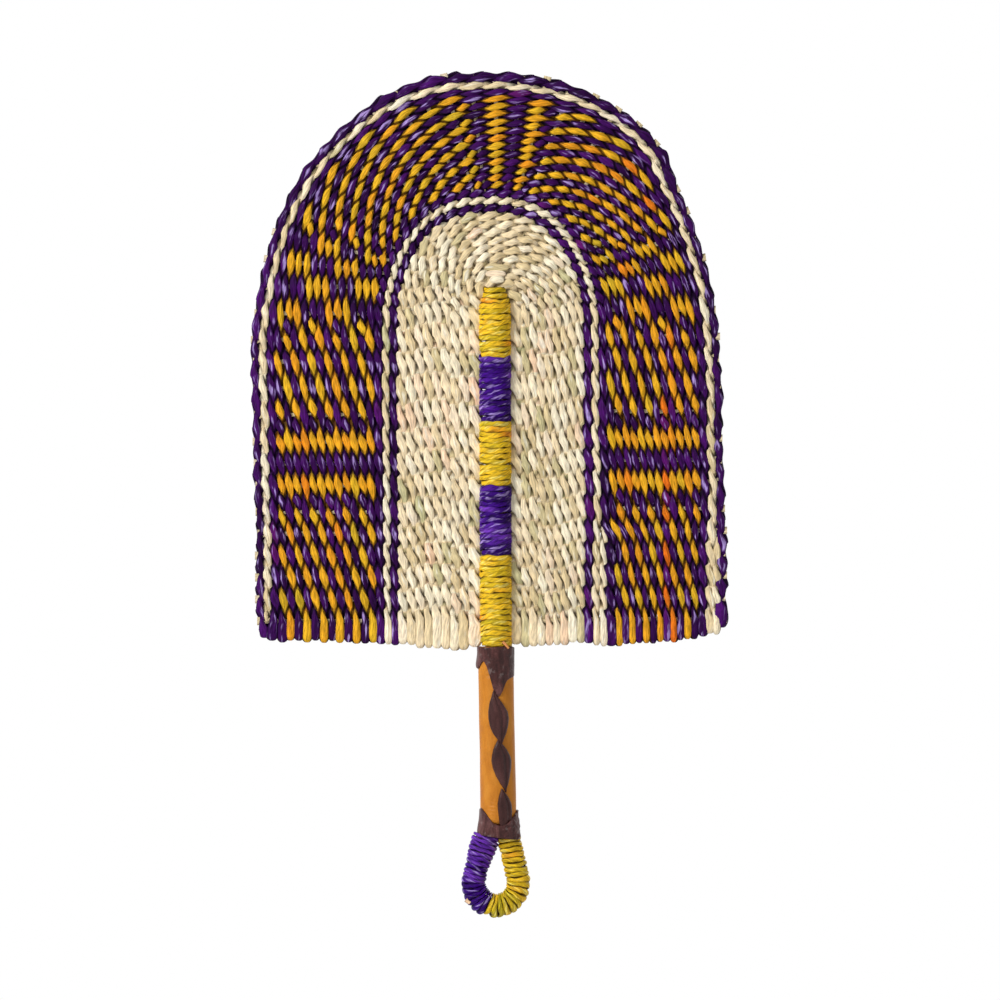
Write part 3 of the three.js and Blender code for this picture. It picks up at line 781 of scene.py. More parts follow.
# Each finish paints shade in the folds and at seed edges, and pale streaks as a painted highlight.
ROW_FINISHES = {
    "natural": ("straw_natural", straw_finish(
        "straw_natural", natural, natural, highlight_colour=(255, 250, 232), highlight_share=0.6, gap=0.25, rim=0.65,
        gloss=0.45, contrast=0.5, shine=0.15, fold_shade=(-0.9, 0.0), edge_shade=(0.8, 1.04))),
    "purple": ("straw_purple", straw_finish(
        "straw_purple", purple, natural, gap=0.16, rim=0.8, gloss=0.34, contrast=0.9,
        fold_shade=(-0.45, 0.35), **dyed_straw)),
    "outermost": ("straw_purple", straw_finish(
        "straw_edge", purple, natural, gap=0.16, rim=0.3, gloss=0.34, contrast=0.9,
        fold_shade=(-0.7, 0.1), **dyed_straw)),
    "field": ("straw_two_tone", straw_finish(
        "straw_two_tone", purple, yellow, gap=0.12, rim=0.8, gloss=0.36, contrast=0.75,
        fold_shade=(-0.45, 0.35), **dyed_straw)),
}


def is_yellow(station, row):
    """Whether the front seed of a field row is yellow: checks, with stripes and blocks."""
    field = row - FIELD_ROWS[0]
    if station in CROWN_BARS:
        return station % 2 == 0
    place = station if station < CROWN_BARS[0] else MIRROR - station
    if place in STRIPES:
        return place != STRIPES[1]
    if place in BLOCKS:
        return (place + field // BLOCK_ROWS) % 2 == 1
    return (place + field) % 2 == 1


def give_way(station):
    """How far two seeds of one colour move apart for the small seed of the other between them."""
    if station in STRIPES_BEGIN:
        return MAKE_ROOM, 0.0
    if station in STRIPES_END:
        return 0.0, MAKE_ROOM
    return MAKE_ROOM / 3, MAKE_ROOM / 3


def row_stations(x, z, length, row):
    """How far along a row its seeds lie: at the warps, or evenly over the crown of an inner row."""
    top = length[int(np.argmax(z))]
    left = at_heights(warp_levels, z, length, False)
    levels = np.array(warp_levels)
    levels = levels + right_rise(levels) * ease(row, *RISE_ROWS)
    right = at_heights(levels, z, length, True)
    if row >= FIELD_ROWS[0]:
        crown = np.interp(crown_angles, ray_angle(x, z), length)
    else:
        aim = np.interp(row, (0, NATURAL_ROWS - 1), CROWN_STEPS)
        if row >= NATURAL_ROWS:
            aim = BORDER_STEP
        rising = max(1, round((top - left[-1]) / aim))
        falling = max(1, round((right[-1] - top) / aim))
        crown = [*np.linspace(left[-1], top, rising + 1)[1:],
                 *np.linspace(top, right[-1], falling + 1)[1:-1]]
    return [*left, *crown, *right[::-1]]


def between_tips(stations):
    """The places of the outermost row's seeds, which lie between the tips of the reeds."""
    middles = [(here + there) / 2 for here, there in zip(stations, stations[1:])]
    return [stations[0] - BELOW_FIRST_TIP, *middles]


def row_seeds(stations, row, chance):
    """Where the seeds of a row lie, with a small one between two neighbours of one colour."""
    plain = row < NATURAL_ROWS
    jitter = NATURAL_JITTER if plain else JITTER
    phase = NATURAL_PHASE if plain else PHASE
    shift = chance.uniform(-phase, phase)
    seeds = []
    last = None
    for number, place in enumerate(stations, 1):
        turned_up = is_yellow(number, row) if row in FIELD_ROWS else number % 2 == 0
        place += shift + chance.uniform(-jitter, jitter)
        if turned_up == last:
            before, after = give_way(number)
            seeds[-1] -= before
            place += after
            seeds.append((seeds[-1] + place) / 2)
        seeds.append(place)
        last = turned_up
    return seeds


def run_length(x, z):
    """How long a line of points is up to each of them."""
    return np.concatenate([[0.0], np.cumsum(np.hypot(np.diff(x), np.diff(z)))])


def nearest(x, z, line):
    """From each point, the distance to a line of points."""
    line_x, line_z = line
    return np.sqrt((x[:, None] - line_x) ** 2 + (z[:, None] - line_z) ** 2).min(axis=1)


def foot_steps(start, end):
    """Places from the seed at one end of a row down to its foot, closer together at the fold."""
    length = end - start
    steps = [start + share * (length - FOLD_LENGTH) for share in np.linspace(0, 1, FOOT_STEPS)]
    fold = np.linspace(0, 1, FOLD_STEPS)[1:]
    return steps + [end - FOLD_LENGTH * (1 - share) ** 2 for share in fold]


def row_hue(row, x, z):
    """The middle tone of a row: some of the field's strands are more orange on the right wing."""
    if row not in FIELD_ROWS:
        return PLAIN_HUE
    more = RIGHT_HUES[row - FIELD_ROWS[0]] - FIELD_HUE
    return FIELD_HUE + more * ease(x, *RIGHT_HUE_ACROSS) * ease(z, *RIGHT_HUE_SPAN)


def foot_swell(left):
    """A finger at the foot is slim where it leaves the last warp, and full further down."""
    slim = FINGER_SLIM * ease(left, *FINGER_SLIM_SPAN)
    return 1.0 - slim + FINGER_FULL * ease(left, *FINGER_FULL_SPAN)


def point_swell(past):
    """A strand that joins a row part of the way grows from a point."""
    return EXTRA_POINT_SIZE + (1 - EXTRA_POINT_SIZE) * ease(past, 0.0, EXTRA_POINT_LENGTH)


def rounded(tip, least):
    """How full a strand is near its end, round like an egg down to its least size."""
    return least + (1 - least) * sqrt(max(0.0, 1 - tip * tip))


def knot_run(turn, height, left, right, width):
    """One short straw across the foot of the crown, on the front and on the back."""
    run = []
    for x in np.linspace(left, right, KNOT_POINTS):
        tip = (2 * x - left - right) / (right - left)
        run.append({
            "place": (x, 0.0, height - KNOT_SAG * tip * tip), "turn": turn, "reach": KNOT_REACH,
            "swell": rounded(tip, KNOT_TIP_SIZE), "pitch": width * MM, "hue": KNOT_HUE,
        })
    return run


def row_run(x, z, seeds, ends, pitch, row, first_swell=foot_swell):
    """The points of one row, from foot to foot: the half turns so far, and its folded feet."""
    length = run_length(x, z)
    places = [(-place, 0.0) for place in reversed(foot_steps(-seeds[0], -ends[0]))]
    for number, (here, there) in enumerate(zip(seeds, seeds[1:])):
        steps = max(FEWEST_STEPS, round((there - here) / STEP))
        places += [(here + (there - here) * step / steps, number + step / steps)
                   for step in range(1, steps + 1)]
    places += [(place, len(seeds) - 1.0) for place in foot_steps(seeds[-1], ends[1])[1:]]
    reach = np.array([place for place, _ in places])
    here_x, here_z = np.interp(reach, length, x), np.interp(reach, length, z)
    wide = pitch(here_x, here_z)
    if row == OUTERMOST_ROW:
        notch = np.array([sin(pi * turn) ** 2 for _, turn in places])
        run_x, run_z = np.gradient(here_x), np.gradient(here_z)
        inward = NOTCH_DEPTH * notch / np.hypot(run_x, run_z)
        here_x, here_z = here_x + inward * run_z, here_z - inward * run_x
        wide = wide * (1 - NOTCH_SHARE * notch)
    run = []
    for number, (place, turn) in enumerate(places):
        before, after = place - ends[0], ends[1] - place
        fold = 1 - min(1.0, min(before, after) / FOLD_LENGTH)
        tip = 1 - min(1.0, min(before, after) / FINGER_TIP)
        swell = first_swell(before) * foot_swell(after)
        drift = noise.noise((place / HUE_LENGTH, row * HUE_ROW_STEP, HUE_SEED))
        run.append({
            "place": (here_x[number], 0.0, here_z[number]),
            "turn": turn,
            "reach": sqrt(max(0.0, 1 - fold ** 2)),
            "swell": rounded(tip, FINGER_TIP_SIZE) * swell,
            "pitch": wide[number] * MM,
            "hue": row_hue(row, here_x[number], here_z[number]) + HUE_DRIFT * drift,
        })
    return run


def extra_run(row, foot):
    """The points of a strand that fills the gap beside a row, low on the right wing."""
    top = EXTRA_TOPS[row]
    heights = np.linspace(top, EXTRA_FOOT, EXTRA_POINTS)
    beside = row_line(row + 0.5), row_line(row + 1.5)
    across = [at_heights(heights, z, x, True) for x, z in beside]
    x = (across[0] + across[1]) / 2
    z = np.linspace(top, foot, EXTRA_POINTS)
    warps = [warp for warp in reversed(warp_levels) if warp < top - EXTRA_BEFORE_SEED]
    seeds = [top - warp - right_rise(warp) for warp in warps]

    def pitch(here_x, here_z):
        return np.full(len(here_x), EXTRA_PITCH)

    return row_run(x, z, seeds, (0.0, top - foot), pitch, row, point_swell)


def twine(name, row, kind, stray):
    """Weaves one row and puts it in the place of its node."""
    chance = Random(ROW_SEED + row)
    x, z = row_line(row + 0.5)
    length = run_length(x, z)
    stations = row_stations(x, z, length, row)
    if row == OUTERMOST_ROW:
        stations = between_tips(stations)
    seeds = row_seeds(stations, row, chance)
    ends = chance.uniform(0.0, UNEVEN_FEET), length[-1] - chance.uniform(0.0, UNEVEN_FEET)
    inner, outer = row_line(row), row_line(row + 1.0)
    widest = WIDEST_ROW if row else WIDEST_FIRST_ROW

    def pitch(here_x, here_z):
        width = nearest(here_x, here_z, inner) + nearest(here_x, here_z, outer)
        return np.minimum(width, widest) * ROW_WIDTHS.get(row, 1.0)

    runs = [row_run(x, z, seeds, ends, pitch, row)]
    if row == 0:
        runs += [knot_run(KNOT_TURN * number, *knot) for number, knot in enumerate(KNOTS, 1)]
    if row in EXTRA_TOPS:
        runs.append(extra_run(row, float(z[-1])))
    slot, straw = ROW_FINISHES[kind]
    first = kind == "field" and is_yellow(1, row)
    settings = {
        "Sides": SEED_SIDES, "Ridges": RIDGE_SHARE, **SEED_FORMS[kind],
        "Seed Thickness": SEED_THICKNESS * MM, "Neck Thickness": NECK_THICKNESS * MM,
        "Depth": SEED_DEPTH * MM, "Stray": stray * MM,
        "Slow Tone": NATURAL_SLOW_TONE if row < NATURAL_ROWS else SLOW_TONE,
        "First Dye": float(first), "Second Dye": float(kind == "field" and not first),
        "Random Seed": SEEDS_PER_ROW * row, "Straw": straw,
    }
    if row == EDGE_LINE_ROW:
        settings["Seed Width"] = EDGE_LINE_SEED_WIDTH
    grow("twined_" + name, runs, twined_row, settings, name)


row = 0
for band, count in ROW_BANDS:
    for number in range(1, count + 1):
        if band == "field_row":
            kind = "field"
        elif band == "natural_row" or number == 2:
            kind = "natural"
        else:
            kind = "outermost" if row == OUTERMOST_ROW else "purple"
        twine(f"{band}_{number}", row, kind, EDGE_STRAY if band == "edge_row" else STRAY)
        row += 1

# Spine windings
# Dyed grass cord is wound round the two sticks in yellow and purple bands, each turn drawn up
# against the last. The cord is twisted by hand, so its turns are lumpy and a little uneven.

BAND_TURNS = (17, 13, 12, 12, 13)
WRAP_RADIUS = 7.7
WRAP_HALF_WIDTH = 1.85
WRAP_FRONT_WIDER = 0.05
WRAP_HALF_THICK = 0.95
SPINE_LEAN = 0.6
TIP_TURN = 63
TIP_STEP = 0.9
TURN_POINTS = 48
END_POINTS = 6
END_SINK = 0.8
END_SIZE = 0.4
WRAP_TONE = 0.45
TONE_SPREAD = 0.8
TONE_LENGTH = 21
TONE_SEED = 2.0
TONE_BAND_STEP = 3.1
LOOSE_HALF_THICK = 0.6
SPINE_LOOSE_END = ((3.4, -8.6, 48.6), (5.0, -8.9, 47.4), (6.7, -8.4, 45.4))
WOUND_PURPLE = ((0.0, (34, 3, 72)), (0.5, (58, 10, 122)), (1.0, (104, 52, 166)))
WOUND_YELLOW = ((0.0, (184, 164, 26)), (0.35, (222, 182, 30)), (0.7, (244, 192, 38)),
                (1.0, (228, 132, 26)))
CORD_FIBRE = (1.8, 1.8, 260)
# The cords paint shade at the edges between turns, and pale streaks as a painted highlight.
wound_yellow = straw_finish(
    "straw_yellow", (WOUND_YELLOW, YELLOW_SHADOW), natural, highlight_colour=(255, 236, 120), highlight_share=0.7,
    gap=0.6, rim=0.85, gloss=0.34, contrast=0.8, shine=0.15, fibre=CORD_FIBRE, edge_shade=(0.55, 1.0))
wound_purple = straw_finish(
    "straw_wound_purple", (WOUND_PURPLE, PURPLE_SHADOW), natural, highlight_colour=(190, 164, 232), highlight_share=0.65,
    gap=0.6, rim=0.85, gloss=0.26, contrast=1.1, shine=0.06, fibre=CORD_FIBRE, edge_shade=(0.6, 1.1))
wound_cord = {"Sides": 12, "Plies": 2.0, "Ply Depth": 0.25, "Twist": 260.0, "Lumps": 0.7,
              "Waver": 2.6 * MM}
even_pitch = (spine_top - HANDLE_TOP - FIT_GAP) / len(turn_levels)


def end_share(step, last, points):
    """Zero at the two ends of a winding, and one from a few points on."""
    return min(1.0, min(step, last - step) / points)


def spine_run(first, count):
    """The points of one band: each turn is level in front and climbs to the next at the back."""
    run = []
    last = count * TURN_POINTS
    for step in range(last + 1):
        turn = min(first + step // TURN_POINTS, first + count - 1)
        share = (step - (turn - first) * TURN_POINTS) / TURN_POINTS
        angle = (2 * share - 0.5) * pi
        front = max(0.0, sin(2 * pi * share))
        here = turn_levels[turn]
        there = turn_levels[min(turn + 1, len(turn_levels) - 1)]
        even = HANDLE_TOP + FIT_GAP + (turn + 0.5) * even_pitch
        z = here + (even - here) * front + (there - here) * ease(share, 0.5, 1.0)
        lean = -SPINE_LEAN * (z - HANDLE_TOP) / (spine_top - HANDLE_TOP)
        full = end_share(step, last, END_POINTS)
        radius = WRAP_RADIUS - TIP_STEP * max(0, turn - TIP_TURN) - END_SINK * (1 - full)
        size = END_SIZE + (1 - END_SIZE) * full
        drift = noise.noise((step / TONE_LENGTH, first * TONE_BAND_STEP, TONE_SEED))
        out = Vector((sin(angle), -cos(angle), 0.0))
        run.append({
            "place": out * radius + Vector((lean, 0, z)), "side": Vector((0, 0, 1)), "rise": out,
            "half_width": (WRAP_HALF_WIDTH + WRAP_FRONT_WIDER * front) * size * MM,
            "half_thick": WRAP_HALF_THICK * size * MM,
            "tone": WRAP_TONE + TONE_SPREAD * drift, "fold": 1.0, "dye": 0.0,
        })
    return run


def loose_end(points, half_width, tone, undyed):
    """A cut end of straw that sticks out of a winding."""
    along = (Vector(points[-1]) - Vector(points[0])).normalized()
    form = {
        "side": Vector((0, 1, 0)).cross(along).normalized(), "rise": Vector((0, -1, 0)),
        "half_width": half_width * MM, "half_thick": LOOSE_HALF_THICK * MM,
        "tone": tone, "fold": 1.0, "dye": undyed,
    }
    return [{"place": place, **form} for place in points]


first = 0
for number, count in enumerate(BAND_TURNS, 1):
    runs = [spine_run(first, count)]
    if number == 1:
        runs.append(loose_end(SPINE_LOOSE_END, half_width=0.9, tone=1.0, undyed=0.25))
    straw, slot = wound_yellow, "straw_yellow"
    if number % 2 == 0:
        straw, slot = wound_purple, "straw_purple"
    settings = dict(wound_cord, Straw=straw)
    grow(f"wound_spine_{number}", runs, laid_straw, settings, f"spine_wrap_{number}")
    first += count

# Handle sleeve
# Tan goatskin is drawn wet round the sticks and glued, so it shrinks to a smooth tube with a few
# small puckers under the top collar and fine wrinkles where it is gathered at the foot.

SLEEVE_RADIUS = 9.15
SLEEVE_BORE = 6.35
SLEEVE_TOP = 46.0
SLEEVE_FOOT = -46.0
SLEEVE_SWELL = 0.15
SLEEVE_SWELL_SPAN = (20.0, -40.0)
SLEEVE_RIPPLE = (0.16, 50, 17, 1.0)
PUCKERS = ((-27.0, 33.6, 0.4), (-24.0, 31.2, 0.45), (-34.0, 36.5, 0.25), (-12.0, 3.0, 0.2))
PUCKER_TURN = 8
WRINKLE_DEPTH = 0.2
WRINKLE_LEVEL = -37.5
WRINKLE_ANGLE = -16.0
WRINKLE_TURN = 22
WRINKLE_REACH = 3.6
WRINKLE_LENGTH = 1.9
WRINKLE_SLANT = 0.02
HANDLE_LEAN = 1.3
HANDLE_LEAN_SPAN = (46.0, -45.0)
HANDLE_SHIFT = 0.1
TAN_SHADES = ((0.25, (176, 104, 24)), (0.5, (198, 124, 34)), (0.75, (212, 142, 52)))
ROUNDED_EDGE = ((0.0, 0.55), (0.012, 0.18), (0.03, 0.0))
CLOUD_SCALE = (190, 190, 70)
CREASE_SCALE = (700, 700, 260)
# Pale patches on the leather as a painted highlight.
SHEEN_SCALE = (300, 300, 260)
SHEEN_SHIFT = (0.3, 0.1, 0.2)
SHEEN_PATCHES = (0.58, 0.7)
SHEEN_COLOUR = (168, 156, 152)


def loft(name, rings, joined):
    """A closed mesh through rings of points: its ends are joined, or else capped."""
    sides = len(rings[0])
    spans = len(rings) if joined else len(rings) - 1
    faces = []
    for ring in range(spans):
        here = ring * sides
        there = (ring + 1) % len(rings) * sides
        for side in range(sides):
            beside = (side + 1) % sides
            faces.append((here + side, here + beside, there + beside, there + side))
    if not joined:
        last = (len(rings) - 1) * sides
        faces.append(tuple(range(sides))[::-1])
        faces.append(tuple(range(last, last + sides)))
    mesh = bpy.data.meshes.new(name)
    mesh.from_pydata([Vector(point) * MM for ring in rings for point in ring], [], faces)
    mesh.calc_loop_triangles()
    volume = 0.0
    for triangle in mesh.loop_triangles:
        a, b, c = (mesh.vertices[index].co for index in triangle.vertices)
        volume += a.dot(b.cross(c))
    if volume < 0:
        mesh.flip_normals()
    mesh.shade_smooth()
    return mesh


def place_leather(mesh, material, node):
    """Puts a piece of leather in the place of its node."""
    piece = bpy.data.objects.new(mesh.name, mesh)
    bpy.context.scene.collection.objects.link(piece)
    mesh.materials.append(material)
    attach(piece, "root")
    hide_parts(node)


def handle_middle(z):
    """How far the handle's middle lies to the right: its sticks are not quite straight."""
    return HANDLE_LEAN * ease(z, *HANDLE_LEAN_SPAN) - HANDLE_SHIFT


def leather_band(name, top, foot, skin, thick, columns, rows):
    """A closed band of leather round the handle, from its edges and skin at each angle."""
    low, high = ROUNDED_EDGE[-1][0], 1 - ROUNDED_EDGE[-1][0]
    shares = [*ROUNDED_EDGE]
    shares += [(share, 0.0) for share in np.linspace(low, high, rows)[1:-1]]
    shares += [(1 - share, inset) for share, inset in reversed(ROUNDED_EDGE)]
    shares += [(1.0, 1.0), (0.5, 1.0), (0.0, 1.0)]
    angles = [2 * pi * column / columns - pi for column in range(columns)]
    rings = []
    for share, inset in shares:
        ring = []
        for angle in angles:
            z = top(angle) + (foot(angle) - top(angle)) * share
            across, deep = skin(angle, z)
            reach = 1 - inset * thick / hypot(across * sin(angle), deep * cos(angle))
            x = across * sin(angle) * reach + handle_middle(z)
            ring.append((x, -deep * cos(angle) * reach, z))
        rings.append(ring)
    return loft(name, rings, True)


def leather_finish(name, shades, gloss, contrast, sheen, pore, bump_height):
    """Leather: shades in soft clouds and pores, fine creases darkened partly as painted shade, pale
    painted highlights, and a patchy polish.
    """
    material, bare = new_finish(name)
    place = bare.node("ShaderNodeTexCoord", None, None, "Object")
    cloud = place.noise(CLOUD_SCALE, 4.0)
    pores = place.noise((pore, pore, pore), 3.0)
    creases = place.noise(CREASE_SCALE, 4.0)
    colour = (cloud * 0.75 + pores * 0.25).shaded(shades)
    # Darker where the fine creases sink: partly the leather's own grain, partly painted shade.
    colour = colour.scaled((1.0 - contrast / 2) + contrast * creases)
    # Pale patches as a painted highlight.
    painted_highlight = place.vector("ADD", SHEEN_SHIFT).noise(SHEEN_SCALE, 4.0).eased(*SHEEN_PATCHES)
    colour = colour.towards(level(*SHEEN_COLOUR), painted_highlight * sheen)
    sockets = {"Base Color": colour, "Roughness": gloss + 0.3 * cloud, "Specular IOR Level": 0.2}
    close_finish(bare, pores * 0.4 + creases * 0.6, bump_height, sockets)
    return material


def bell(*offsets):
    """A smooth rise: one in the middle, and next to nothing at twice the width."""
    return exp(-sum(offset ** 2 for offset in offsets))


def ripple(turn, z, depth, turn_length, z_length, seed):
    """Soft unevenness of leather, over lengths in degrees round the handle and along it."""
    return depth * noise.noise((turn / turn_length, z / z_length, seed))


def sleeve_skin(angle, z):
    """How far the sleeve's skin lies from the middle, across and deep."""
    turn = angle * 180 / pi
    radius = SLEEVE_RADIUS + SLEEVE_SWELL * ease(z, *SLEEVE_SWELL_SPAN)
    radius += ripple(turn, z, *SLEEVE_RIPPLE)
    for at, height, depth in PUCKERS:
        radius -= depth * bell((turn - at) / PUCKER_TURN, z - height)
    wrinkled = bell((turn - WRINKLE_ANGLE) / WRINKLE_TURN, (z - WRINKLE_LEVEL) / WRINKLE_REACH)
    wave = sin(2 * pi * (z + WRINKLE_SLANT * turn) / WRINKLE_LENGTH)
    radius += WRINKLE_DEPTH * wrinkled * wave
    return radius, radius


tan_leather = leather_finish("leather_tan", TAN_SHADES, gloss=0.32, contrast=0.28, sheen=0.0,
                             pore=1600, bump_height=0.18)
mesh = leather_band("leather_sleeve", lambda angle: SLEEVE_TOP, lambda angle: SLEEVE_FOOT,
                    sleeve_skin, SLEEVE_RADIUS - SLEEVE_BORE, columns=96, rows=170)
place_leather(mesh, tan_leather, "handle_sleeve")

# Collars
# Dark leather is drawn round both ends of the sleeve. The top one ends in a long point down the
# front, and the lower one is crumpled where it takes in the two ends of the loop.

DARK_SHADES = ((0.3, (40, 18, 17)), (0.5, (74, 41, 39)), (0.7, (108, 70, 69)))
TOP_TURNS = (-180, -120, -90, -68, -50, -42, -34, -27, -19, -9, 5, 16, 23, 30, 38, 55, 71, 90,
             120, 180)
TOP_FEET = (33.0, 33.5, 35.0, 34.6, 37.6, 38.9, 37.0, 34.4, 30.4, 23.6, 19.6, 21.4, 23.8, 26.6,
            28.6, 29.8, 30.3, 30.6, 32.0, 33.0)
TOP_RADIUS = 9.7
TOP_THICK = 0.6
TOP_EDGE_WAVE = 0.25
TOP_LOBE = 0.75
TOP_LOBE_TURN = -88
TOP_LOBE_LEVEL = 36.6
TOP_LOBE_WIDTH = 30
TOP_LOBE_REACH = 3.2
TOP_LONG_RIPPLE = (0.3, 26, 9, 4.0)
TOP_SHORT_RIPPLE = (0.14, 9, 4, 8.0)
LOW_TURNS = (-180, -150, -118, -90, -66, -46, -30, -14, 6, 22, 40, 58, 76, 90, 112, 150, 180)
LOW_TOPS = (-46.0, -44.0, -39.5, -38.2, -37.6, -39.8, -42.6, -45.6, -46.8, -46.0, -43.6, -41.2,
            -39.4, -38.6, -39.6, -44.0, -46.0)
LOW_FEET = (-51.6, -54.4)
LOW_RADIUS = 9.75
LOW_THICK = 0.7
LOW_FLARE = (1.6, 0.45)
LOW_FLARE_SPAN = (-38.0, -53.5)
LOW_CRUMPLE = (1.5, 17, 3.6, 3.0)
LOW_CRUMPLE_BEGIN = (8.0, 26.0)
LOW_CRUMPLE_END = (96.0, 130.0)
LOW_RIPPLE = (0.35, 30, 7, 6.0)
LOW_SEAM = 0.3
LOW_SEAM_TURN = -32
LOW_SEAM_SLANT = 0.3
LOW_SEAM_WIDTH = 5
EDGE_SOFTNESS = 4
# The collars get strong painted shade in their creases and pale patches as a painted highlight.
dark_leather = leather_finish("leather_dark_sheen", DARK_SHADES, gloss=0.2, contrast=1.8, sheen=0.22,
                              pore=1300, bump_height=0.3)


def smooth_edge(turns, heights):
    """An edge through given heights round the handle, rounded by a short running mean."""
    around = np.interp(range(-180, 180), turns, heights)
    shifts = range(-EDGE_SOFTNESS, EDGE_SOFTNESS + 1)
    soft = [sum(around[(turn + shift) % 360] for shift in shifts) / len(shifts)
            for turn in range(360)]
    return lambda angle: float(np.interp(angle * 180 / pi, range(-180, 181), [*soft, soft[0]]))


def top_edge(angle):
    """The cut edge of the top collar waves a little."""
    return HANDLE_TOP + TOP_EDGE_WAVE * sin(3 * angle)


def top_skin(angle, z):
    """The top collar has a lobe on its left, and long and short creases."""
    turn = angle * 180 / pi
    beside = (turn - TOP_LOBE_TURN) / TOP_LOBE_WIDTH
    lobe = TOP_LOBE * bell(beside, (z - TOP_LOBE_LEVEL) / TOP_LOBE_REACH)
    creases = ripple(turn, z, *TOP_LONG_RIPPLE) + ripple(turn, z, *TOP_SHORT_RIPPLE)
    radius = TOP_RADIUS + lobe + creases
    return radius, radius


def low_edge(angle):
    """The foot of the lower collar slopes down to the right."""
    return LOW_FEET[0] + (LOW_FEET[1] - LOW_FEET[0]) * (0.5 + 0.5 * sin(angle))


def low_skin(angle, z):
    """The lower collar widens over the loop's two ends, with a seam, and crumples on its right."""
    turn = angle * 180 / pi
    share = ease(z, *LOW_FLARE_SPAN)
    right = ease(turn, *LOW_CRUMPLE_BEGIN) * (1 - ease(turn, *LOW_CRUMPLE_END))
    fold = right * abs(ripple(turn, z, *LOW_CRUMPLE)) + ripple(turn, z, *LOW_RIPPLE)
    seam = LOW_SEAM * bell((turn - LOW_SEAM_TURN + LOW_SEAM_SLANT * z) / LOW_SEAM_WIDTH)
    across, deep = [LOW_RADIUS + flare * share + fold + seam for flare in LOW_FLARE]
    return across, deep


mesh = leather_band("leather_top_collar", top_edge, smooth_edge(TOP_TURNS, TOP_FEET), top_skin,
                    TOP_THICK, columns=120, rows=26)
place_leather(mesh, dark_leather, "top_collar")
mesh = leather_band("leather_lower_collar", smooth_edge(LOW_TURNS, LOW_TOPS), low_edge, low_skin,
                    LOW_THICK, columns=120, rows=24)
place_leather(mesh, dark_leather, "lower_collar")

# Lacing strip
# One dark leather thong is twisted down the front of the sleeve, so it shows as three lozenges.
# Each lies over the tip of the next, and the last one runs under the lower collar.

# Each lozenge is a list of heights, with its left and its right edge there.
LOZENGES = (
    ((23.6, -1.3, -0.9), (20.5, -2.2, 0.6), (17.0, -3.3, 3.2), (12.5, -4.0, 6.2), (9.0, -3.9, 6.9),
     (5.0, -3.2, 6.4), (1.0, -1.5, 5.2), (-2.0, 0.8, 3.8), (-4.0, 2.2, 3.2)),
    ((-2.0, 0.9, 1.3), (-4.2, -0.2, 3.2), (-7.0, -1.4, 5.6), (-11.0, -2.2, 8.0), (-13.0, -2.4, 8.6),
     (-17.0, -1.6, 8.3), (-21.0, 0.0, 7.4), (-25.0, 2.2, 6.4), (-27.6, 3.9, 5.4),
     (-29.4, 4.9, 5.3)),
    ((-27.4, 2.7, 3.1), (-29.5, 2.0, 4.7), (-32.0, 1.3, 6.6), (-35.5, 0.8, 8.6), (-39.0, 1.0, 9.0),
     (-44.0, 1.6, 9.0), (-47.0, 2.0, 8.9)),
)
LACE_SEAT = 9.25
LACE_RISE = 2.0
LACE_THICK = 0.25
LACE_EDGE = 0.12
LACE_LIFT = 0.3
LACE_LIFT_STEP = 0.1
LACE_CREASE = 0.5
LACE_CREASE_PLACE = 0.24
LACE_CREASE_WIDTH = 0.12
LACE_TIP = 0.05
LACE_FULLNESS = 0.6
LACE_COLUMNS = 16
LACE_STEPS = 30
THONG_SHADES = ((0.3, (40, 18, 17)), (0.5, (66, 36, 34)), (0.7, (90, 56, 54)))
thong_leather = leather_finish("leather_dark", THONG_SHADES, gloss=0.24, contrast=0.5, sheen=0.0,
                               pore=1300, bump_height=0.25)


def lozenge_rings(outline, lift):
    """One twist of the thong: its two soft facets meet in a crease right of the middle."""
    heights, lefts, rights = zip(*reversed(outline))
    rings = []
    for step in range(LACE_STEPS + 1):
        share = step / LACE_STEPS
        z = outline[0][0] + (outline[-1][0] - outline[0][0]) * share
        left = float(np.interp(z, heights, lefts))
        right = float(np.interp(z, heights, rights))
        full = sin(pi * (share * (1 - 2 * LACE_TIP) + LACE_TIP)) ** LACE_FULLNESS
        upper = []
        lower = []
        for column in range(LACE_COLUMNS + 1):
            across = 2 * column / LACE_COLUMNS - 1
            angle = (left + (right - left) * (across + 1) / 2) / LACE_SEAT
            dome = sqrt(max(0.0, 1 - across * across))
            crease = LACE_CREASE * bell((across - LACE_CREASE_PLACE) / LACE_CREASE_WIDTH)
            rise = lift + LACE_THICK + LACE_RISE * full * dome * (1 - crease)
            rise += LACE_EDGE * (1 - across)
            if abs(across) == 1:
                rise = lift + LACE_EDGE
            for ring, radius in ((upper, LACE_SEAT + rise), (lower, LACE_SEAT)):
                ring.append((radius * sin(angle), -radius * cos(angle), z))
        rings.append(upper + lower[::-1])
    return rings


points = []
faces = []
for number, outline in enumerate(LOZENGES):
    rings = lozenge_rings(outline, LACE_LIFT - LACE_LIFT_STEP * number)
    mesh = loft("lozenge", rings, False)
    first = len(points)
    points += [vertex.co.copy() for vertex in mesh.vertices]
    faces += [tuple(first + index for index in face.vertices) for face in mesh.polygons]
    bpy.data.meshes.remove(mesh)
thong = bpy.data.meshes.new("leather_thong")
thong.from_pydata(points, [], faces)
thong.shade_smooth()
place_leather(thong, thong_leather, "lacing_strip")

# Hanging loop
# The stem core is bent into a drop and wound with dyed grass, purple down the left leg and yellow
# from the bend up the right one. Both ends run up into the lower collar.

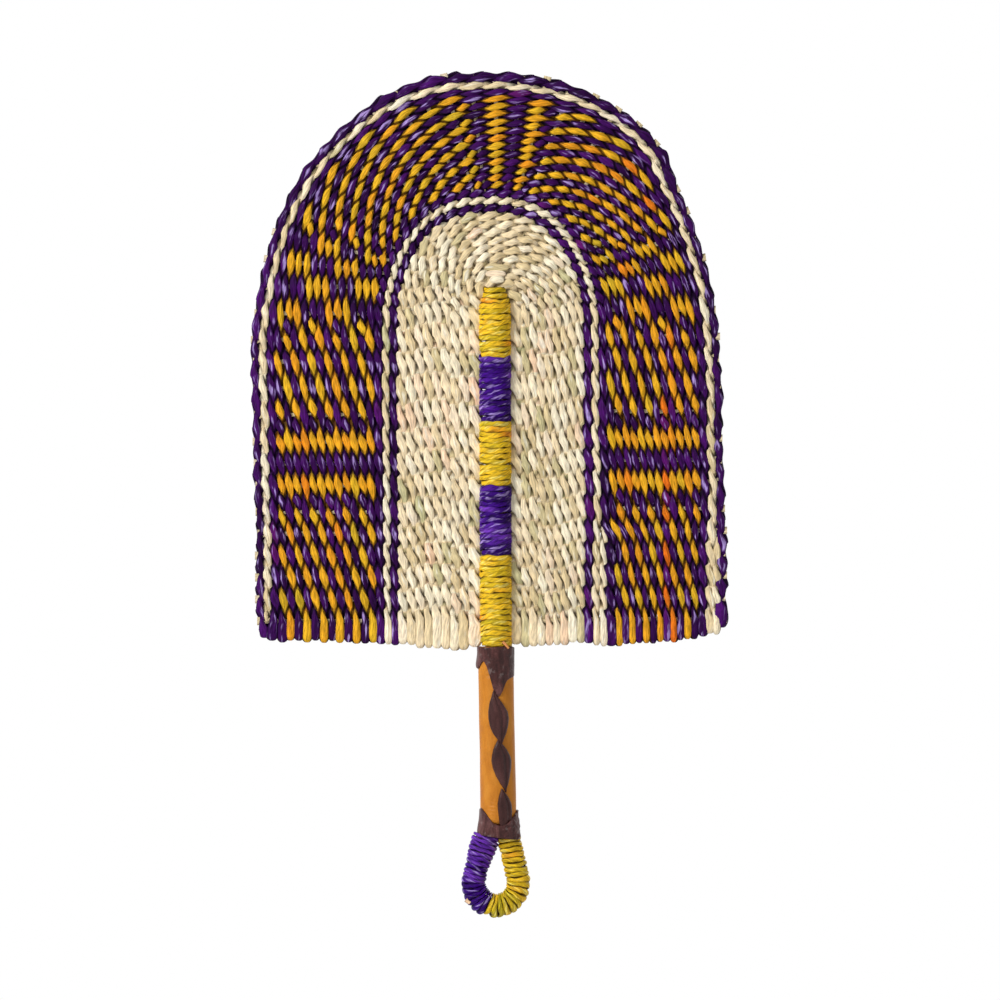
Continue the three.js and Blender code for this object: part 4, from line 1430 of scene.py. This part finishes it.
LOOP_BEND = 11.7
LOOP_TOP = -54.6
LOOP_DROP = 22.4
LOOP_SPREAD = 6.95
LOOP_CORE = 3.6
LEG_RISE = 8.3
UNWOUND = 2.6
LOOP_RADIUS = 5.05
LOOP_HALF_WIDTH = 0.58
LOOP_HALF_THICK = 1.35
LOOP_BULGE = 0.5
LOOP_BULGE_SPANS = ((30.0, 37.0), (46.0, 42.0))
LEG_FLAT = 2.2
LEG_FLAT_SPAN = (24.0, 9.0)
PURPLE_LENGTH = 40.1
PURPLE_TURNS = 17
YELLOW_TURNS = 18
LOOP_POINTS = 30
LOOP_END_POINTS = 5
LOOP_AHEAD = 0.2
LOOP_TONE_LENGTH = 19
LOOP_TONE_SEED = 5.0
LOOP_LOOSE_END = ((-15.6, -4.6, -85.2), (-14.6, -5.6, -86.2), (-13.4, -5.4, -87.0))
leg_distance = hypot(LOOP_SPREAD, LOOP_DROP)
leg_tilt = atan2(LOOP_DROP, LOOP_SPREAD) - acos(LOOP_BEND / leg_distance)
leg_above = (LEG_RISE - LOOP_CORE * sin(leg_tilt)) / cos(leg_tilt)
leg_length = leg_above + sqrt(leg_distance ** 2 - LOOP_BEND ** 2)
bend_angle = pi + 2 * leg_tilt
loop_length = 2 * leg_length + LOOP_BEND * bend_angle
wound_from = leg_above - UNWOUND
colour_change = wound_from + PURPLE_LENGTH


def on_loop(along, outward, back):
    """A point of the loop: how far along from the left leg's top, out from the bend, and back."""
    turn = min(max((along - leg_length) / LOOP_BEND, 0.0), bend_angle)
    angle = pi - leg_tilt + turn
    beyond = along - leg_length - LOOP_BEND * turn
    reach = LOOP_BEND + outward
    x = reach * cos(angle) - beyond * sin(angle)
    z = LOOP_TOP - LOOP_DROP + reach * sin(angle) + beyond * cos(angle)
    return Vector((x, back, z))


def loop_run(start, end, turns, seed, tones):
    """The points of one winding from a place on the loop to another."""
    run = []
    pitch = (end - start) / turns
    last = turns * LOOP_POINTS
    before, after = LOOP_BULGE_SPANS
    for step in range(last + 1):
        along = start + (end - start) * step / last
        angle = -2 * pi * step / LOOP_POINTS
        radius = LOOP_RADIUS + LOOP_BULGE * ease(along, *before) * ease(along, *after)
        out, back = radius * cos(angle), radius * sin(angle)
        out -= LEG_FLAT * max(0.0, -cos(angle)) * ease(along, *LEG_FLAT_SPAN)
        place = on_loop(along, out, back)
        ahead = on_loop(along + LOOP_AHEAD, out, back) - on_loop(along - LOOP_AHEAD, out, back)
        stretch = ahead.length / (2 * LOOP_AHEAD)
        size = END_SIZE + (1 - END_SIZE) * end_share(step, last, LOOP_END_POINTS)
        drift = noise.noise((step / LOOP_TONE_LENGTH, seed, LOOP_TONE_SEED))
        run.append({
            "place": place, "side": ahead.normalized(),
            "rise": (place - on_loop(along, 0.0, 0.0)).normalized(),
            "half_width": LOOP_HALF_WIDTH * pitch * stretch * size * MM,
            "half_thick": LOOP_HALF_THICK * size * MM,
            "tone": np.interp(step, (0, last), tones) + TONE_SPREAD * drift,
            "fold": 1.0, "dye": 0.0,
        })
    return run


runs = [loop_run(wound_from, colour_change, PURPLE_TURNS, seed=1.0, tones=(1.1, 0.3)),
        loose_end(LOOP_LOOSE_END, half_width=1.1, tone=0.9, undyed=1.0)]
settings = dict(wound_cord, Straw=wound_purple)
grow("wound_loop_purple", runs, laid_straw, settings, "loop_wrap_purple")
wound_to = loop_length - wound_from
runs = [loop_run(colour_change, wound_to, YELLOW_TURNS, seed=2.0, tones=(0.2, 0.5))]
settings = dict(wound_cord, Straw=wound_yellow)
grow("wound_loop_yellow", runs, laid_straw, settings, "loop_wrap_yellow")

# Studio
# A pale floor lies well under the fan, and the light is soft, from the upper left. The floor and
# the surroundings show as plain white, apart from the fan's soft shadow on the floor below it.

# Here the sizes are in metres.
FLOOR_LEVEL = -0.36
FLOOR_RADIUS = 9.0
FLOOR_SIDES = 64
FLOOR_COLOUR = (0.9, 0.9, 0.9, 1.0)
WHITE = (1.0, 1.0, 1.0, 1.0)
SHADOW_RADII = (0.35, 0.9)
WORLD_LIGHT = 0.3
LAMPS = (
    ("key", (-2.1, -1.8, 1.7), 0.5, 78.0),
    ("fill", (1.9, -1.7, 0.5), 1.4, 3.0),
    ("back", (0.9, 2.3, 1.6), 1.2, 26.0),
)
LAMP_TARGET = (0.0, 0.0, 0.12)
PHOTO_WIDTH = 0.52
CAMERA_PLACE = (0.00208, -3.0, 0.1222)


def white_share(bare):
    """One for what the camera sees, straight, in a mirror or through glass, and zero for light."""
    path = bare.node("ShaderNodeLightPath", None, None, "Is Camera Ray")
    rays = path.socket.node.outputs
    seen = path + Wire(bare.tree, rays["Is Glossy Ray"])
    return (seen + Wire(bare.tree, rays["Is Transmission Ray"])).math("MINIMUM", 1.0)


floor_material, bare = new_finish("pale_floor")
place = bare.node("ShaderNodeTexCoord", None, None, "Object")
far = place.vector("LENGTH", out="Value").eased(*SHADOW_RADII)
diffuse = bare.node("ShaderNodeBsdfDiffuse", None, {"Color": FLOOR_COLOUR})
white = bare.node("ShaderNodeEmission", None, {"Color": WHITE, "Strength": 1.0})
sockets = {0: white_share(bare) * far, 1: diffuse, 2: white}
mixed = bare.node("ShaderNodeMixShader", None, sockets)
bare.node("ShaderNodeOutputMaterial", None, {"Surface": mixed})
turns = [2 * pi * step / FLOOR_SIDES for step in range(FLOOR_SIDES)]
rim = [(FLOOR_RADIUS * cos(turn), FLOOR_RADIUS * sin(turn), 0.0) for turn in turns]
mesh = bpy.data.meshes.new("floor")
mesh.from_pydata(rim, [], [tuple(range(FLOOR_SIDES))])
mesh.materials.append(floor_material)
floor = bpy.data.objects.new("floor", mesh)
floor.location.z = FLOOR_LEVEL
bpy.context.scene.collection.objects.link(floor)

world = bpy.data.worlds.new("studio")
bpy.context.scene.world = world
world.use_nodes = True
world.node_tree.nodes.clear()
bare = Wire(world.node_tree)
strength = WORLD_LIGHT + (1.0 - WORLD_LIGHT) * white_share(bare)
backdrop = bare.node("ShaderNodeBackground", None, {"Color": WHITE, "Strength": strength})
bare.node("ShaderNodeOutputWorld", None, {"Surface": backdrop})

for name, place, size, power in LAMPS:
    lamp = bpy.data.lights.new(name, "AREA")
    lamp.size = size
    lamp.energy = power
    light = bpy.data.objects.new(name, lamp)
    light.location = place
    aim = Vector(LAMP_TARGET) - Vector(place)
    light.rotation_euler = aim.to_track_quat("-Z", "Y").to_euler()
    bpy.context.scene.collection.objects.link(light)

camera = bpy.data.cameras.new("camera")
camera.sensor_width = 36.0
camera.lens = camera.sensor_width * -CAMERA_PLACE[1] / PHOTO_WIDTH
viewer = bpy.data.objects.new("camera", camera)
viewer.location = CAMERA_PLACE
viewer.rotation_euler = (pi / 2, 0.0, 0.0)
bpy.context.scene.collection.objects.link(viewer)
bpy.context.scene.camera = viewer
bpy.context.scene.view_settings.view_transform = "Standard"
